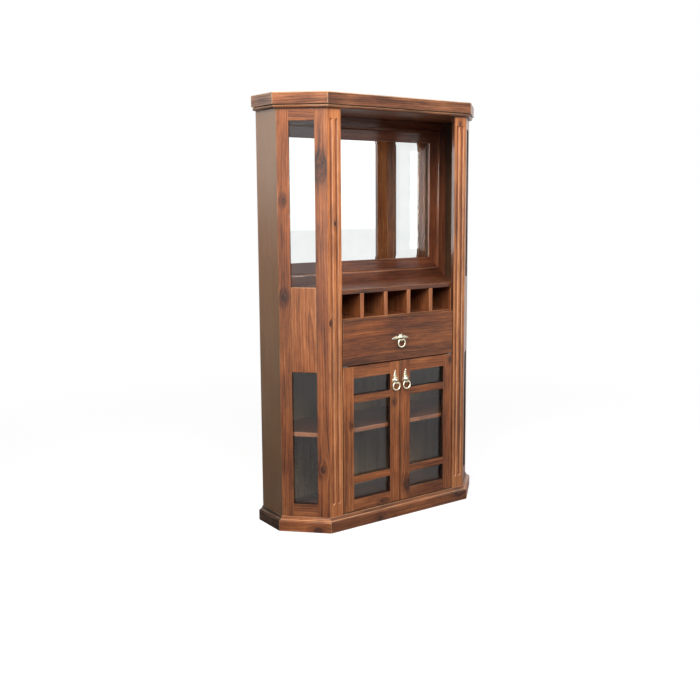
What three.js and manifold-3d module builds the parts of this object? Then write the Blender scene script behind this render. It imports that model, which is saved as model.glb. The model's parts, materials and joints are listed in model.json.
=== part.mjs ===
// Glass display cabinet: a tall pine cabinet with canted, glazed front corners. From the top down it has
// an open niche with a framed mirror, a rack of five slots, a drawer, and a cupboard with two glazed doors.
// Millimetres. X runs to the right and Y to the back; Z is up, from the floor. The origin lies on the
// floor, under the middle of the cornice.
import * as THREE from "three";
import { mergeVertices } from "three/addons/utils/BufferGeometryUtils.js";
import Module from "manifold-3d";

const wasm = await Module();
wasm.setup();

// Overall size, over the cornice and the plinth, which reach out past the body in front and at the sides.
const WIDTH = 1040;
const DEPTH = 325;
const HEIGHT = 1760;
const OVERHANG = 20;
const CORNICE_CANT = 155; // each leg of the canted corner, on the cornice

// Boards.
const SIDE_THICK = 18;
const FACE_THICK = 18; // pilasters, corner frames and kick board
const BOARD_THICK = 18;
const BACK_THICK = 6;
const BACK_INSET = 3.5; // from the rear edges of the side panels
const TOP_THICK = 18;

// Clearances.
const JOINT = 0.3; // between pieces that are glued or seated
const RUNNING = 1; // between a fixed piece and one that moves past it
const OVERRUN = 5; // how far a cutter runs past what it cuts

// Plinth and cornice mouldings, as reaches from the body's face and as heights.
const PLINTH_FASCIA = 46;
const PLINTH_MOULDING = 14;
const PLINTH_ROUND = 6;
const PLINTH_STEP = 12;
const PLINTH_STEP_RISE = 3;
const PLINTH_COVE = 8;
const CORNICE_FASCIA = 46;
const CORNICE_MOULDING = 14;
const CORNICE_EASING = 2;
const CORNICE_ROUND = 7;
const CORNICE_ROUND_START = 7;
const CORNICE_SHADOW = 3;
const CORNICE_SHADOW_REACH = 10;

// Front, from the plinth up.
const PILASTER_WIDTH = 63.7;
const DOOR_CLEARANCE = 4; // over the plinth
const DOOR_HEIGHT = 610;
const DOOR_TO_DRAWER = 5;
const DRAWER_FRONT_HEIGHT = 187;
const RACK_LIP = 4; // the rack's floor stands this far above the drawer front
const RACK_HEIGHT = 100;

// Pilaster flutes: two stopped hollows on each pilaster.
const FLUTE_WIDTH = 16;
const FLUTE_DEPTH = 5.5;
const FLUTE_PITCH = 25;
const FLUTE_FOOT = 110;
const FLUTE_TOP_MARGIN = 38; // under the cornice
const FLUTE_SIDES = 24;
const FLUTE_CAP_STEPS = 4;

// Glazed corners.
const CORNER_STILE = 50;
const CORNER_TOP_RAIL = 48;
const CORNER_BOTTOM_RAIL = 53;
const CORNER_PANEL_BELOW = 14; // the panel's foot, below the head of the doors
const CORNER_PANEL_ABOVE = 15; // the panel's top, above the niche's floor
const GLASS_THICK = 4;
const GLASS_LAP = 8; // how far a corner pane runs behind its frame
const CORNER_GLASS_SETBACK = 10; // from the frame's face

// Doors.
const DOOR_THICK = 18;
const DOOR_SIDE_GAP = 4.5;
const DOOR_MIDDLE_GAP = 5;
const DOOR_STILE = 50;
const DOOR_TOP_RAIL = 49;
const DOOR_BOTTOM_RAIL = 49;
const DOOR_UPPER_PANE = 71;
const DOOR_LOWER_PANE = 69;
const DOOR_MUNTIN = 31;
const DOOR_GLASS_LAP = 6;
const DOOR_GLASS_SETBACK = 13;

// Pivot hinges, at the foot and the head of each door.
const PIVOT_INSET = 12; // from the door's outer edge
const PIN_RADIUS = 3;
const PIN_DEPTH = 14; // into the door
const PIN_SEAT = 12; // into the bottom board
const COLLAR_RADIUS = 6;
const PIN_SIDES = 16;
const HINGE_LEAF_THICK = 2.6;
const HINGE_LEAF_WIDTH = 20;
const HINGE_LEAF_LENGTH = 46;
const HINGE_LEAF_NOSE = 7; // ahead of the pin

// Drawer.
const DRAWER_FRONT_GAP = 4;
const DRAWER_FRONT_THICK = 18;
const DRAWER_SIDE_THICK = 14;
const DRAWER_SIDE_HEIGHT = 150;
const DRAWER_SIDE_FOOT = 8; // above the deck
const DRAWER_RUN_SPACE = 13; // between the drawer's side and the rack's side
const DRAWER_REAR_GAP = 27.2; // between the drawer and the back panel
const DRAWER_BOTTOM_THICK = 6;
const DRAWER_BOTTOM_FOOT = 10;
const DRAWER_GROOVE = 5;
const RUNNER_HEIGHT = 18;
const RUNNER_FOOT = 74; // above the foot of the drawer's side
const RUNNER_GROOVE = 6;

// Rack and shelf.
const RACK_SIDE_THICK = 18;
const RACK_SLOTS = 5;
const RACK_DIVIDER_THICK = 17.5;
const SHELF_RISE = 349; // its top, above the bottom board
const SHELF_THICK = 17;

// Mirror and its mitred frame, on the niche's back.
const MIRROR_THICK = 4;
const MIRROR_LAP = 8;
const MIRROR_FRAME_THICK = 11.5;
const MIRROR_OUTER_FLAT = 38;
const MIRROR_BEAD = 14;
const MIRROR_BEAD_RISE = 5;
const MIRROR_INNER_FLAT = 45;
const MIRROR_STEP = 1.5;
const MIRROR_SLOPE = 2;
const MIRROR_EASING = 2;
const MIRROR_SEAT = 2; // the frame's foot stands this deep in the niche's floor
const MIRROR_BEVEL = 13; // the part of the sheet's bevel that shows inside the frame
const MIRROR_BEVEL_FALL = 1.1;

// Ring pulls. The pull's own origin is the middle of its hood, on the face that it is fixed to.
const DOOR_PULL_DROP = 82; // below the head of the door
const DRAWER_PULL_RISE = 94; // above the foot of the drawer's front
const PULL_PLATE_RADIUS = 14.5;
const PULL_PLATE_THICK = 1.6;
const HOOD_RADIUS = 14;
const HOOD_RISE = 13;
const HOOD_LIFT = 3;
const HOOD_STEPS = 6;
const HOOD_SIDES = 24;
const LEAF_REACH = 46;
const LEAF_ROOT = 8;
const LEAF_WIDTH = 18;
const LEAF_THICK = 2.4;
const LEAF_LOBES = 3;
const LEAF_NOTCH_SHARE = 0.34;
const LEAF_TAPER_SHARE = 0.62;
const RING_PIVOT_DROP = 10; // below the pull's origin
const RING_PIVOT_REACH = 11; // in front of the face
const RING_WIRE_RADIUS = 3;
const RING_HALF_WIDTH = 17.5;
const RING_HALF_HEIGHT = 17;
const RING_DIP = 5;
const RING_DIP_WIDTH = 7;
const RING_STEPS = 36;
const RING_SIDES = 8;
const EYE_WIRE_RADIUS = 1.4;
const EYE_PLAY = 0.4; // round the ring's wire
const EYE_STEPS = 20;
const EYE_SIDES = 8;
const POST_RADIUS = 2.2;
const POST_SIDES = 12;
const POCKET_RADIUS = 7.2;
const POCKET_SIDES = 24;

const ARC_STEPS = 6;
const MERGE_DISTANCE = 1e-4;

// Places that follow from the sizes.
const side = WIDTH / 2 - OVERHANG; // outer face of a side panel
const front = OVERHANG - DEPTH / 2; // face of the pilasters, doors and drawer
const back = DEPTH / 2;
const cant = CORNICE_CANT - OVERHANG * (2 - Math.SQRT2);
const cantLength = cant * Math.SQRT2;
const openingHalf = side - cant - PILASTER_WIDTH;
const plinthTop = PLINTH_FASCIA + PLINTH_MOULDING;
const ceiling = HEIGHT - CORNICE_FASCIA - CORNICE_MOULDING;
const carcassTop = HEIGHT - TOP_THICK;
const doorFoot = plinthTop + DOOR_CLEARANCE;
const doorHead = doorFoot + DOOR_HEIGHT;
const drawerFoot = doorHead + DOOR_TO_DRAWER;
const drawerHead = drawerFoot + DRAWER_FRONT_HEIGHT;
const deckTop = doorHead + RUNNING + HINGE_LEAF_THICK;
const rackFloor = drawerHead + RACK_LIP;
const nicheFloor = rackFloor + RACK_HEIGHT + BOARD_THICK;
const boardFront = front + FACE_THICK + RUNNING; // front edges of the inner boards
const backWall = back - BACK_INSET - BACK_THICK; // inner face of the back panel
const doorInner = DOOR_MIDDLE_GAP / 2;
const doorOuter = openingHalf - DOOR_SIDE_GAP;
const pivotX = doorOuter - PIVOT_INSET;
const pivotY = front + DOOR_THICK / 2;
const doorSweep = Math.hypot(PIVOT_INSET, DOOR_THICK / 2); // of the inner edge, about the pivot
const behindDoors = pivotY + doorSweep + RUNNING; // front edges of the boards that a door swings past
const mirrorFrameWidth = MIRROR_OUTER_FLAT + MIRROR_BEAD + MIRROR_INNER_FLAT;
const eyeRadius = RING_WIRE_RADIUS + EYE_PLAY + EYE_WIRE_RADIUS;

const pine = new THREE.MeshStandardMaterial({ color: 0x8a5030, roughness: 0.45 });
const dullPine = new THREE.MeshStandardMaterial({ color: 0x6f4a30, roughness: 0.6 });
const darkPine = new THREE.MeshStandardMaterial({ color: 0x4a2c1c, roughness: 0.6 });
const plywood = new THREE.MeshStandardMaterial({ color: 0x6b5a48, roughness: 0.7 });
const glass = new THREE.MeshStandardMaterial({
  color: 0xcdd6d2,
  roughness: 0.05,
  transparent: true,
  opacity: 0.25,
});
const silvering = new THREE.MeshStandardMaterial({ color: 0xe4e8ea, roughness: 0.03, metalness: 1 });
const brass = new THREE.MeshStandardMaterial({ color: 0xcfc08e, roughness: 0.3, metalness: 1 });
const steel = new THREE.MeshStandardMaterial({ color: 0x9b9c9a, roughness: 0.35, metalness: 1 });

// Merged vertices, no collapsed triangles, and faces that point out.
function closed(geometry) {
  const bare = geometry.clone();
  bare.deleteAttribute("normal");
  bare.deleteAttribute("uv");
  const merged = mergeVertices(bare, MERGE_DISTANCE);
  const at = merged.getAttribute("position");
  const corner = (i) => new THREE.Vector3().fromBufferAttribute(at, i);
  let faces = [];
  let volume = 0;
  for (let i = 0; i < merged.index.count; i += 3) {
    const face = [0, 1, 2].map((k) => merged.index.getX(i + k));
    if (new Set(face).size < face.length) continue;
    faces.push(face);
    const [a, b, c] = face.map(corner);
    volume += a.dot(b.cross(c));
  }
  if (volume < 0) faces = faces.map(([a, b, c]) => [a, c, b]);
  merged.setIndex(faces.flat());
  return merged;
}

function toSolid(geometry) {
  const shape = closed(geometry);
  return new wasm.Manifold(
    new wasm.Mesh({
      numProp: 3,
      vertProperties: new Float32Array(shape.getAttribute("position").array),
      triVerts: new Uint32Array(shape.index.array),
    }),
  );
}

function toGeometry(solid) {
  const { numProp, vertProperties, triVerts } = solid.getMesh();
  const geometry = new THREE.BufferGeometry();
  geometry.setAttribute("position", new THREE.BufferAttribute(vertProperties, numProp));
  geometry.setIndex(new THREE.BufferAttribute(triVerts, 1));
  return geometry;
}

function cut(geometry, ...cutters) {
  return toGeometry(cutters.reduce((left, cutter) => left.subtract(toSolid(cutter)), toSolid(geometry)));
}

function join(...geometries) {
  return toGeometry(geometries.map(toSolid).reduce((whole, piece) => whole.add(piece)));
}

// Moves every vertex of a geometry to place(x, y, z).
function mapped(geometry, place) {
  const at = geometry.getAttribute("position");
  for (let i = 0; i < at.count; i++) at.setXYZ(i, ...place(at.getX(i), at.getY(i), at.getZ(i)));
  return geometry;
}

// A box between the limits of x, y and z.
function block([x0, x1], [y0, y1], [z0, z1]) {
  const place = (x, y, z) => [x < 0 ? x0 : x1, y < 0 ? y0 : y1, z < 0 ? z0 : z1];
  return closed(mapped(new THREE.BoxGeometry(), place));
}

function unitPrism(points) {
  const shape = new THREE.Shape(points.map(([x, y]) => new THREE.Vector2(x, y)));
  return new THREE.ExtrudeGeometry(shape, { depth: 1, bevelEnabled: false });
}

// A board with an outline in plan, between two heights.
function board(plan, [low, high]) {
  return closed(mapped(unitPrism(plan), (x, y, t) => [x, y, t ? high : low]));
}

// A plate with an outline seen from the front, as [x, z], between two depths.
function facePlate(outline, [near, far]) {
  return closed(mapped(unitPrism(outline), (x, z, t) => [x, t ? near : far, z]));
}

function arc(x, y, radius, fromTurn, toTurn, steps = ARC_STEPS) {
  return Array.from({ length: steps + 1 }, (_, i) => {
    const angle = 2 * Math.PI * (fromTurn + ((toTurn - fromTurn) * i) / steps);
    return [x + radius * Math.cos(angle), y + radius * Math.sin(angle)];
  });
}

// A rod along X, Y or Z with its middle at the place given.
function rod(axis, radius, length, sides, [x, y, z]) {
  const geometry = new THREE.CylinderGeometry(radius, radius, length, sides);
  if (axis === "x") geometry.rotateZ(Math.PI / 2);
  if (axis === "z") geometry.rotateX(Math.PI / 2);
  return geometry.translate(x, y, z);
}

// The plan of a board whose edges lie inside the body's faces by these distances. The corners run from the
// left rear, past the left canted corner, to the right rear.
function boardPlan(sideInset, cantInset, frontInset, backInset) {
  const x = side - sideInset;
  const y = front + frontInset;
  const reach = side - cant - front - cantInset * Math.SQRT2;
  const rear = back - backInset;
  return [
    [-x, rear],
    [-x, x - reach],
    [-reach - y, y],
    [reach + y, y],
    [x, x - reach],
    [x, rear],
  ];
}

const bodyPlan = boardPlan(0, 0, 0, 0);
const innerPlan = boardPlan(SIDE_THICK, FACE_THICK, FACE_THICK, BACK_INSET + BACK_THICK);
const [, , , bodyFrontCorner, bodySideCorner] = bodyPlan;
const [, , , innerFrontCorner, innerSideCorner] = innerPlan;

// The plan of a board that fills the room inside the body, back from the front edge given.
function roomPlan(frontEdge = boardFront) {
  const rearInset = BACK_INSET + BACK_THICK + JOINT;
  return boardPlan(SIDE_THICK + JOINT, FACE_THICK + JOINT, frontEdge - front, rearInset);
}

function shifted([x, y], [dx, dy], distance) {
  return [x + dx * distance, y + dy * distance];
}

function handed(hand, plan) {
  return plan.map(([x, y]) => [hand * x, y]);
}

// Along a canted face from its side corner, and inwards from that face.
const ALONG = [-Math.SQRT1_2, -Math.SQRT1_2];
const INWARD = [-Math.SQRT1_2, Math.SQRT1_2];

function cantPlan([along0, along1], [deep0, deep1]) {
  const corner = (along, deep) => shifted(shifted(bodySideCorner, ALONG, along), INWARD, deep);
  return [corner(along0, deep0), corner(along1, deep0), corner(along1, deep1), corner(along0, deep1)];
}

function cantBlock(hand, alongs, depths, heights) {
  return board(handed(hand, cantPlan(alongs, depths)), heights);
}

// Mouldings run round the body from the right rear to the left rear. Each run ends on a mitre.
const mouldingCorners = [...bodyPlan].reverse();
const mouldingNames = ["side_right", "corner_right", "front", "corner_left", "side_left"];

function runDirection(i) {
  const [a, b] = [mouldingCorners[i], mouldingCorners[i + 1]];
  const length = Math.hypot(b[0] - a[0], b[1] - a[1]);
  return [(b[0] - a[0]) / length, (b[1] - a[1]) / length];
}

function mitreAt(i) {
  const outward = ([dx, dy]) => [-dy, dx];
  const last = mouldingNames.length;
  const before = outward(runDirection(Math.max(i - 1, 0)));
  const after = outward(runDirection(Math.min(i, last - 1)));
  const spread = 1 + before[0] * after[0] + before[1] * after[1];
  return [(before[0] + after[0]) / spread, (before[1] + after[1]) / spread];
}

function mouldingRun(profile, i) {
  const direction = runDirection(i);
  const atRear = (k) => k === 0 || k === mouldingNames.length;
  const ends = [i, i + 1].map((k, end) => {
    const trim = atRear(k) ? 0 : (end ? -JOINT : JOINT) / 2;
    return { point: shifted(mouldingCorners[k], direction, trim), mitre: mitreAt(k) };
  });
  const place = (reach, z, t) => {
    const { point, mitre } = ends[t ? 1 : 0];
    return [...shifted(point, mitre, reach), z];
  };
  return closed(mapped(unitPrism(profile), place));
}

function plinthProfile() {
  const coveFoot = PLINTH_FASCIA + PLINTH_STEP_RISE;
  return [
    [JOINT, 0],
    [OVERHANG, 0],
    ...arc(OVERHANG - PLINTH_ROUND, PLINTH_FASCIA - PLINTH_ROUND, PLINTH_ROUND, 0, 1 / 4),
    [PLINTH_STEP, PLINTH_FASCIA],
    ...arc(PLINTH_STEP, coveFoot + PLINTH_COVE, PLINTH_COVE, 3 / 4, 1 / 2),
    [PLINTH_STEP - PLINTH_COVE, plinthTop],
    [JOINT, plinthTop],
  ];
}

function corniceProfile() {
  const fasciaFoot = HEIGHT - CORNICE_FASCIA;
  const roundReach = CORNICE_ROUND_START + CORNICE_ROUND;
  return [
    [JOINT, ceiling],
    ...arc(CORNICE_ROUND_START, ceiling + CORNICE_ROUND, CORNICE_ROUND, 3 / 4, 1),
    [roundReach, fasciaFoot - CORNICE_SHADOW],
    [CORNICE_SHADOW_REACH, fasciaFoot - CORNICE_SHADOW],
    [CORNICE_SHADOW_REACH, fasciaFoot],
    [OVERHANG, fasciaFoot],
    [OVERHANG, HEIGHT - CORNICE_EASING],
    [OVERHANG - CORNICE_EASING, HEIGHT],
    [JOINT, HEIGHT],
  ];
}

// A pilaster is mitred to the corner frame at its outer edge.
function pilaster(hand) {
  const gap = -JOINT / 2;
  const plan = [
    [openingHalf, front],
    shifted(bodyFrontCorner, [1, 0], gap),
    shifted(innerFrontCorner, [1, 0], gap),
    [openingHalf, front + FACE_THICK],
  ];
  const radius = (FLUTE_WIDTH ** 2 / 4 + FLUTE_DEPTH ** 2) / (2 * FLUTE_DEPTH);
  const fluteHead = ceiling - FLUTE_TOP_MARGIN;
  const length = fluteHead - FLUTE_FOOT - FLUTE_WIDTH;
  const middle = (openingHalf + bodyFrontCorner[0]) / 2;
  const flutes = [-1, 1].map((way) =>
    new THREE.CapsuleGeometry(radius, length, FLUTE_CAP_STEPS, FLUTE_SIDES)
      .rotateX(Math.PI / 2)
      .translate(
        hand * (middle + (way * FLUTE_PITCH) / 2),
        front + FLUTE_DEPTH - radius,
        (FLUTE_FOOT + fluteHead) / 2,
      ),
  );
  return cut(board(handed(hand, plan), [0, carcassTop]), ...flutes);
}

const cornerWindow = [CORNER_STILE, cantLength - CORNER_STILE];
const cornerRabbet = [CORNER_STILE - GLASS_LAP, cantLength - CORNER_STILE + GLASS_LAP];
const cornerWindowFoot = plinthTop + CORNER_BOTTOM_RAIL;
const cornerWindowHead = ceiling - CORNER_TOP_RAIL;
const cornerPanelHeights = [doorHead - CORNER_PANEL_BELOW, nicheFloor + CORNER_PANEL_ABOVE];

function narrowed([low, high], gap) {
  return [low + gap, high - gap];
}

// Two stiles and two rails round one tall opening, rabbeted from behind for the panel and the panes.
function cornerFrame(hand) {
  const gap = JOINT / 2;
  const plan = [
    shifted(bodySideCorner, ALONG, gap),
    shifted(bodyFrontCorner, ALONG, -gap),
    shifted(innerFrontCorner, ALONG, -gap),
    shifted(innerSideCorner, ALONG, gap),
  ];
  const through = [-OVERRUN, FACE_THICK + OVERRUN];
  const rabbetHeights = [cornerWindowFoot - GLASS_LAP, cornerWindowHead + GLASS_LAP];
  return cut(
    board(handed(hand, plan), [0, carcassTop]),
    cantBlock(hand, cornerWindow, through, [cornerWindowFoot, cornerWindowHead]),
    cantBlock(hand, cornerRabbet, [CORNER_GLASS_SETBACK, FACE_THICK + OVERRUN], rabbetHeights),
  );
}

// The solid panel between the two windows: its back is tongued into the stiles and rabbeted for the panes.
function cornerPanel(hand) {
  const tongue = CORNER_GLASS_SETBACK + JOINT;
  const face = cantPlan(narrowed(cornerWindow, JOINT), [0, tongue]);
  const rear = cantPlan(narrowed(cornerRabbet, JOINT), [tongue, FACE_THICK]);
  const whole = [face[0], face[1], face[2], rear[1], rear[2], rear[3], rear[0], face[3]];
  return join(
    board(handed(hand, face), cornerPanelHeights),
    board(handed(hand, whole), narrowed(cornerPanelHeights, GLASS_LAP)),
  );
}

function cornerPane(hand, heights) {
  const face = CORNER_GLASS_SETBACK + JOINT;
  const depths = [face, face + GLASS_THICK];
  return cantBlock(hand, narrowed(cornerRabbet, JOINT), depths, narrowed(heights, JOINT));
}

function sidePanel(hand) {
  const plan = [
    shifted(bodySideCorner, [0, 1], JOINT / 2),
    [side, back],
    [side - SIDE_THICK, back],
    shifted(innerSideCorner, [0, 1], JOINT / 2),
  ];
  return board(handed(hand, plan), [0, carcassTop]);
}

// A board that fills the room between the side panels, with a tongue to the front between the pilasters.
function tonguedBoard(heights) {
  const half = openingHalf - JOINT;
  return join(board(roomPlan(), heights), block([-half, half], [front, boardFront + RUNNING], heights));
}

function bottomBoard() {
  const holes = [-1, 1].map((hand) =>
    rod("z", PIN_RADIUS + JOINT, 2 * PIN_SEAT, PIN_SIDES, [hand * pivotX, pivotY, plinthTop]),
  );
  return cut(tonguedBoard([plinthTop - BOARD_THICK, plinthTop]), ...holes);
}

function hingeLeafLimits(hand, gap) {
  const near = pivotX - HINGE_LEAF_WIDTH / 2 - gap;
  const far = pivotX + HINGE_LEAF_WIDTH / 2 + gap;
  const nose = pivotY - HINGE_LEAF_NOSE - gap;
  const xs = [hand * near, hand * far].sort((a, b) => a - b);
  return [xs, [nose, nose + HINGE_LEAF_LENGTH + 2 * gap]];
}

// The deck under the drawer carries the upper pivots in two shallow recesses.
function drawerDeck() {
  const recesses = [-1, 1].map((hand) => {
    const [xs, ys] = hingeLeafLimits(hand, JOINT);
    return block(xs, ys, [deckTop - HINGE_LEAF_THICK - JOINT, deckTop + OVERRUN]);
  });
  return cut(board(roomPlan(behindDoors), [deckTop - BOARD_THICK, deckTop]), ...recesses);
}

function upperPivot(hand) {
  const [xs, ys] = hingeLeafLimits(hand, 0);
  const foot = doorHead - PIN_DEPTH + RUNNING;
  const middle = [hand * pivotX, pivotY, (deckTop + foot) / 2];
  const pin = rod("z", PIN_RADIUS, deckTop - foot, PIN_SIDES, middle);
  return join(block(xs, ys, [deckTop - HINGE_LEAF_THICK, deckTop]), pin);
}

function lowerPivot(hand) {
  const foot = plinthTop - PIN_SEAT + RUNNING;
  const head = doorFoot + PIN_DEPTH - RUNNING;
  const at = (low, high) => [hand * pivotX, pivotY, (low + high) / 2];
  const collar = narrowed([plinthTop, doorFoot], JOINT);
  return join(
    rod("z", PIN_RADIUS, head - foot, PIN_SIDES, at(foot, head)),
    rod("z", COLLAR_RADIUS, collar[1] - collar[0], PIN_SIDES, at(...collar)),
  );
}

const doorWindow = [doorInner + DOOR_STILE, doorOuter - DOOR_STILE];
const doorWindowFoot = doorFoot + DOOR_BOTTOM_RAIL;
const doorWindowHead = doorHead - DOOR_TOP_RAIL;

function handedLimits(hand, limits) {
  return limits.map((x) => hand * x).sort((a, b) => a - b);
}

// A frame with two cross bars, so that one sheet of glass behind it shows as three panes.
function door(hand) {
  const panes = [
    [doorWindowFoot, doorWindowFoot + DOOR_LOWER_PANE],
    [doorWindowFoot + DOOR_LOWER_PANE + DOOR_MUNTIN, doorWindowHead - DOOR_UPPER_PANE - DOOR_MUNTIN],
    [doorWindowHead - DOOR_UPPER_PANE, doorWindowHead],
  ];
  const window = handedLimits(hand, doorWindow);
  const through = [front - OVERRUN, front + DOOR_THICK + OVERRUN];
  const sheet = [doorWindowFoot, doorWindowHead];
  const rabbet = block(
    narrowed(window, -DOOR_GLASS_LAP),
    [front + DOOR_GLASS_SETBACK, front + DOOR_THICK + OVERRUN],
    narrowed(sheet, -DOOR_GLASS_LAP),
  );
  const pinHoles = [doorFoot, doorHead].map((z) =>
    rod("z", PIN_RADIUS + JOINT, 2 * PIN_DEPTH, PIN_SIDES, [hand * pivotX, pivotY, z]),
  );
  const xs = handedLimits(hand, [doorInner, doorOuter]);
  return cut(
    block(xs, [front, front + DOOR_THICK], [doorFoot, doorHead]),
    ...panes.map((heights) => block(window, through, heights)),
    rabbet,
    ...pinHoles,
  );
}

function doorGlass(hand) {
  const face = front + DOOR_GLASS_SETBACK + JOINT;
  const lap = JOINT - DOOR_GLASS_LAP;
  const xs = narrowed(handedLimits(hand, doorWindow), lap);
  return block(xs, [face, face + GLASS_THICK], narrowed([doorWindowFoot, doorWindowHead], lap));
}

const drawerHalf = openingHalf - DRAWER_RUN_SPACE; // outer faces of the drawer's sides
const drawerSideFoot = deckTop + DRAWER_SIDE_FOOT;
const drawerBox = [front + DRAWER_FRONT_THICK + JOINT, backWall - DRAWER_REAR_GAP];
const drawerBoxHeights = [drawerSideFoot, drawerSideFoot + DRAWER_SIDE_HEIGHT];
const drawerBottomFoot = drawerSideFoot + DRAWER_BOTTOM_FOOT;
const drawerBottomHeights = [drawerBottomFoot, drawerBottomFoot + DRAWER_BOTTOM_THICK];
const runnerFoot = drawerSideFoot + RUNNER_FOOT;
const runnerHeights = [runnerFoot, runnerFoot + RUNNER_HEIGHT];

function drawerSide(hand) {
  const inner = drawerHalf - DRAWER_SIDE_THICK;
  const past = [drawerBox[0] - OVERRUN, drawerBox[1] + OVERRUN];
  const bottomGroove = handedLimits(hand, [inner - OVERRUN, inner + DRAWER_GROOVE]);
  const runnerGroove = handedLimits(hand, [drawerHalf - RUNNER_GROOVE, drawerHalf + OVERRUN]);
  return cut(
    block(handedLimits(hand, [inner, drawerHalf]), drawerBox, drawerBoxHeights),
    block(bottomGroove, past, narrowed(drawerBottomHeights, -JOINT)),
    block(runnerGroove, past, narrowed(runnerHeights, -JOINT)),
  );
}

function drawerBottom() {
  const half = drawerHalf - DRAWER_SIDE_THICK + DRAWER_GROOVE - JOINT;
  const depths = [drawerBox[0], drawerBox[1] - DRAWER_SIDE_THICK - JOINT];
  return block([-half, half], depths, drawerBottomHeights);
}

function drawerBack() {
  const half = drawerHalf - DRAWER_SIDE_THICK - JOINT;
  return block([-half, half], [drawerBox[1] - DRAWER_SIDE_THICK, drawerBox[1]], drawerBoxHeights);
}

// A batten on the rack's side, on which the groove of the drawer's side slides.
function drawerRunner(hand) {
  const xs = handedLimits(hand, [drawerHalf - RUNNER_GROOVE + JOINT, openingHalf - JOINT]);
  return block(xs, [boardFront + RUNNING, backWall - JOINT], runnerHeights);
}

function rackSide(hand) {
  const xs = handedLimits(hand, [openingHalf, openingHalf + RACK_SIDE_THICK]);
  return block(xs, [boardFront, backWall - JOINT], [deckTop + JOINT, nicheFloor - BOARD_THICK - JOINT]);
}

function rackDivider(i) {
  const slot = (2 * openingHalf - (RACK_SLOTS - 1) * RACK_DIVIDER_THICK) / RACK_SLOTS;
  const left = (i + 1) * slot + i * RACK_DIVIDER_THICK - openingHalf;
  const heights = narrowed([rackFloor, nicheFloor - BOARD_THICK], JOINT);
  return block([left, left + RACK_DIVIDER_THICK], [boardFront, backWall - JOINT], heights);
}

const mirrorHalf = side - SIDE_THICK - JOINT;
const mirrorHeights = narrowed([nicheFloor - MIRROR_SEAT, ceiling], JOINT);
const mirrorBack = backWall - JOINT;

// The niche's floor is rebated along its rear edge for the mirror's frame.
function nicheFloorBoard() {
  const half = mirrorHalf + OVERRUN;
  const rebate = [mirrorBack - MIRROR_FRAME_THICK - JOINT, mirrorBack + OVERRUN];
  return cut(
    board(roomPlan(), [nicheFloor - BOARD_THICK, nicheFloor]),
    block([-half, half], rebate, [nicheFloor - MIRROR_SEAT, nicheFloor + OVERRUN]),
  );
}

// A closed ring: the profile, as [distance in from the outer edge, y], swept round a mitred rectangle.
function mitredRing(profile, half, [low, high]) {
  const corners = [
    [-1, 1],
    [1, 1],
    [1, -1],
    [-1, -1],
  ];
  const rings = corners.map(([right, up]) =>
    profile.map(([inset, y]) => [right * (half - inset), y, up > 0 ? high - inset : low + inset]),
  );
  const count = profile.length;
  const index = [];
  for (let ring = 0; ring < corners.length; ring++) {
    for (let i = 0; i < count; i++) {
      const next = ((ring + 1) % corners.length) * count;
      const [a, b] = [ring * count + i, ring * count + ((i + 1) % count)];
      const [c, d] = [next + i, next + ((i + 1) % count)];
      index.push(a, b, c, b, d, c);
    }
  }
  const geometry = new THREE.BufferGeometry();
  geometry.setAttribute("position", new THREE.Float32BufferAttribute(rings.flat(2), 3));
  return closed(geometry.setIndex(index));
}

function mirrorFrame() {
  const face = mirrorBack - MIRROR_FRAME_THICK;
  const beadMiddle = MIRROR_OUTER_FLAT + MIRROR_BEAD / 2;
  const rise = MIRROR_BEAD_RISE / (MIRROR_BEAD / 2);
  const bead = arc(0, 0, MIRROR_BEAD / 2, 1 / 2, 1).map(([x, y]) => [beadMiddle + x, face + y * rise]);
  const lipFace = face + MIRROR_STEP + MIRROR_SLOPE;
  const mirrorFace = mirrorBack - MIRROR_THICK - JOINT;
  const profile = [
    [0, mirrorBack],
    [0, face],
    ...bead,
    [MIRROR_OUTER_FLAT + MIRROR_BEAD, face + MIRROR_STEP],
    [mirrorFrameWidth - MIRROR_EASING, lipFace],
    [mirrorFrameWidth, lipFace + MIRROR_EASING],
    [mirrorFrameWidth, mirrorFace],
    [mirrorFrameWidth - MIRROR_LAP, mirrorFace],
    [mirrorFrameWidth - MIRROR_LAP, mirrorBack],
  ];
  return mitredRing(profile, mirrorHalf, mirrorHeights);
}

// A sheet whose face slopes down to a thinner edge all round, under the frame's lip.
function mirror() {
  const edge = mirrorFrameWidth - MIRROR_LAP + JOINT;
  const face = mirrorBack - MIRROR_THICK;
  const layers = [
    [edge, mirrorBack],
    [edge, face + MIRROR_BEVEL_FALL],
    [mirrorFrameWidth + MIRROR_BEVEL, face],
  ];
  const corners = layers.flatMap(([inset, y]) =>
    [-1, 1].flatMap((right) =>
      narrowed(mirrorHeights, inset).map((z) => [right * (mirrorHalf - inset), y, z]),
    ),
  );
  return closed(toGeometry(wasm.Manifold.hull(corners)));
}

// A pointed leaf with notched edges, turned to lie along the given direction.
function leaf([dx, dz]) {
  const steps = 2 * LEAF_LOBES;
  const edge = Array.from({ length: steps }, (_, i) => {
    const share = i / steps;
    const lobe = i % 2 ? 1 : 1 - LEAF_NOTCH_SHARE;
    const taper = 1 - LEAF_TAPER_SHARE * share;
    return [LEAF_ROOT + (LEAF_REACH - LEAF_ROOT) * share, (LEAF_WIDTH / 2) * lobe * taper];
  });
  const mirrored = [...edge].reverse().map(([along, out]) => [along, -out]);
  const outline = [...edge, [LEAF_REACH, 0], ...mirrored];
  const turned = outline.map(([along, out]) => [along * dx - out * dz, along * dz + out * dx]);
  return facePlate(turned, [-LEAF_THICK, -JOINT]);
}

const pivotPoint = [0, -RING_PIVOT_REACH, -RING_PIVOT_DROP];

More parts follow.
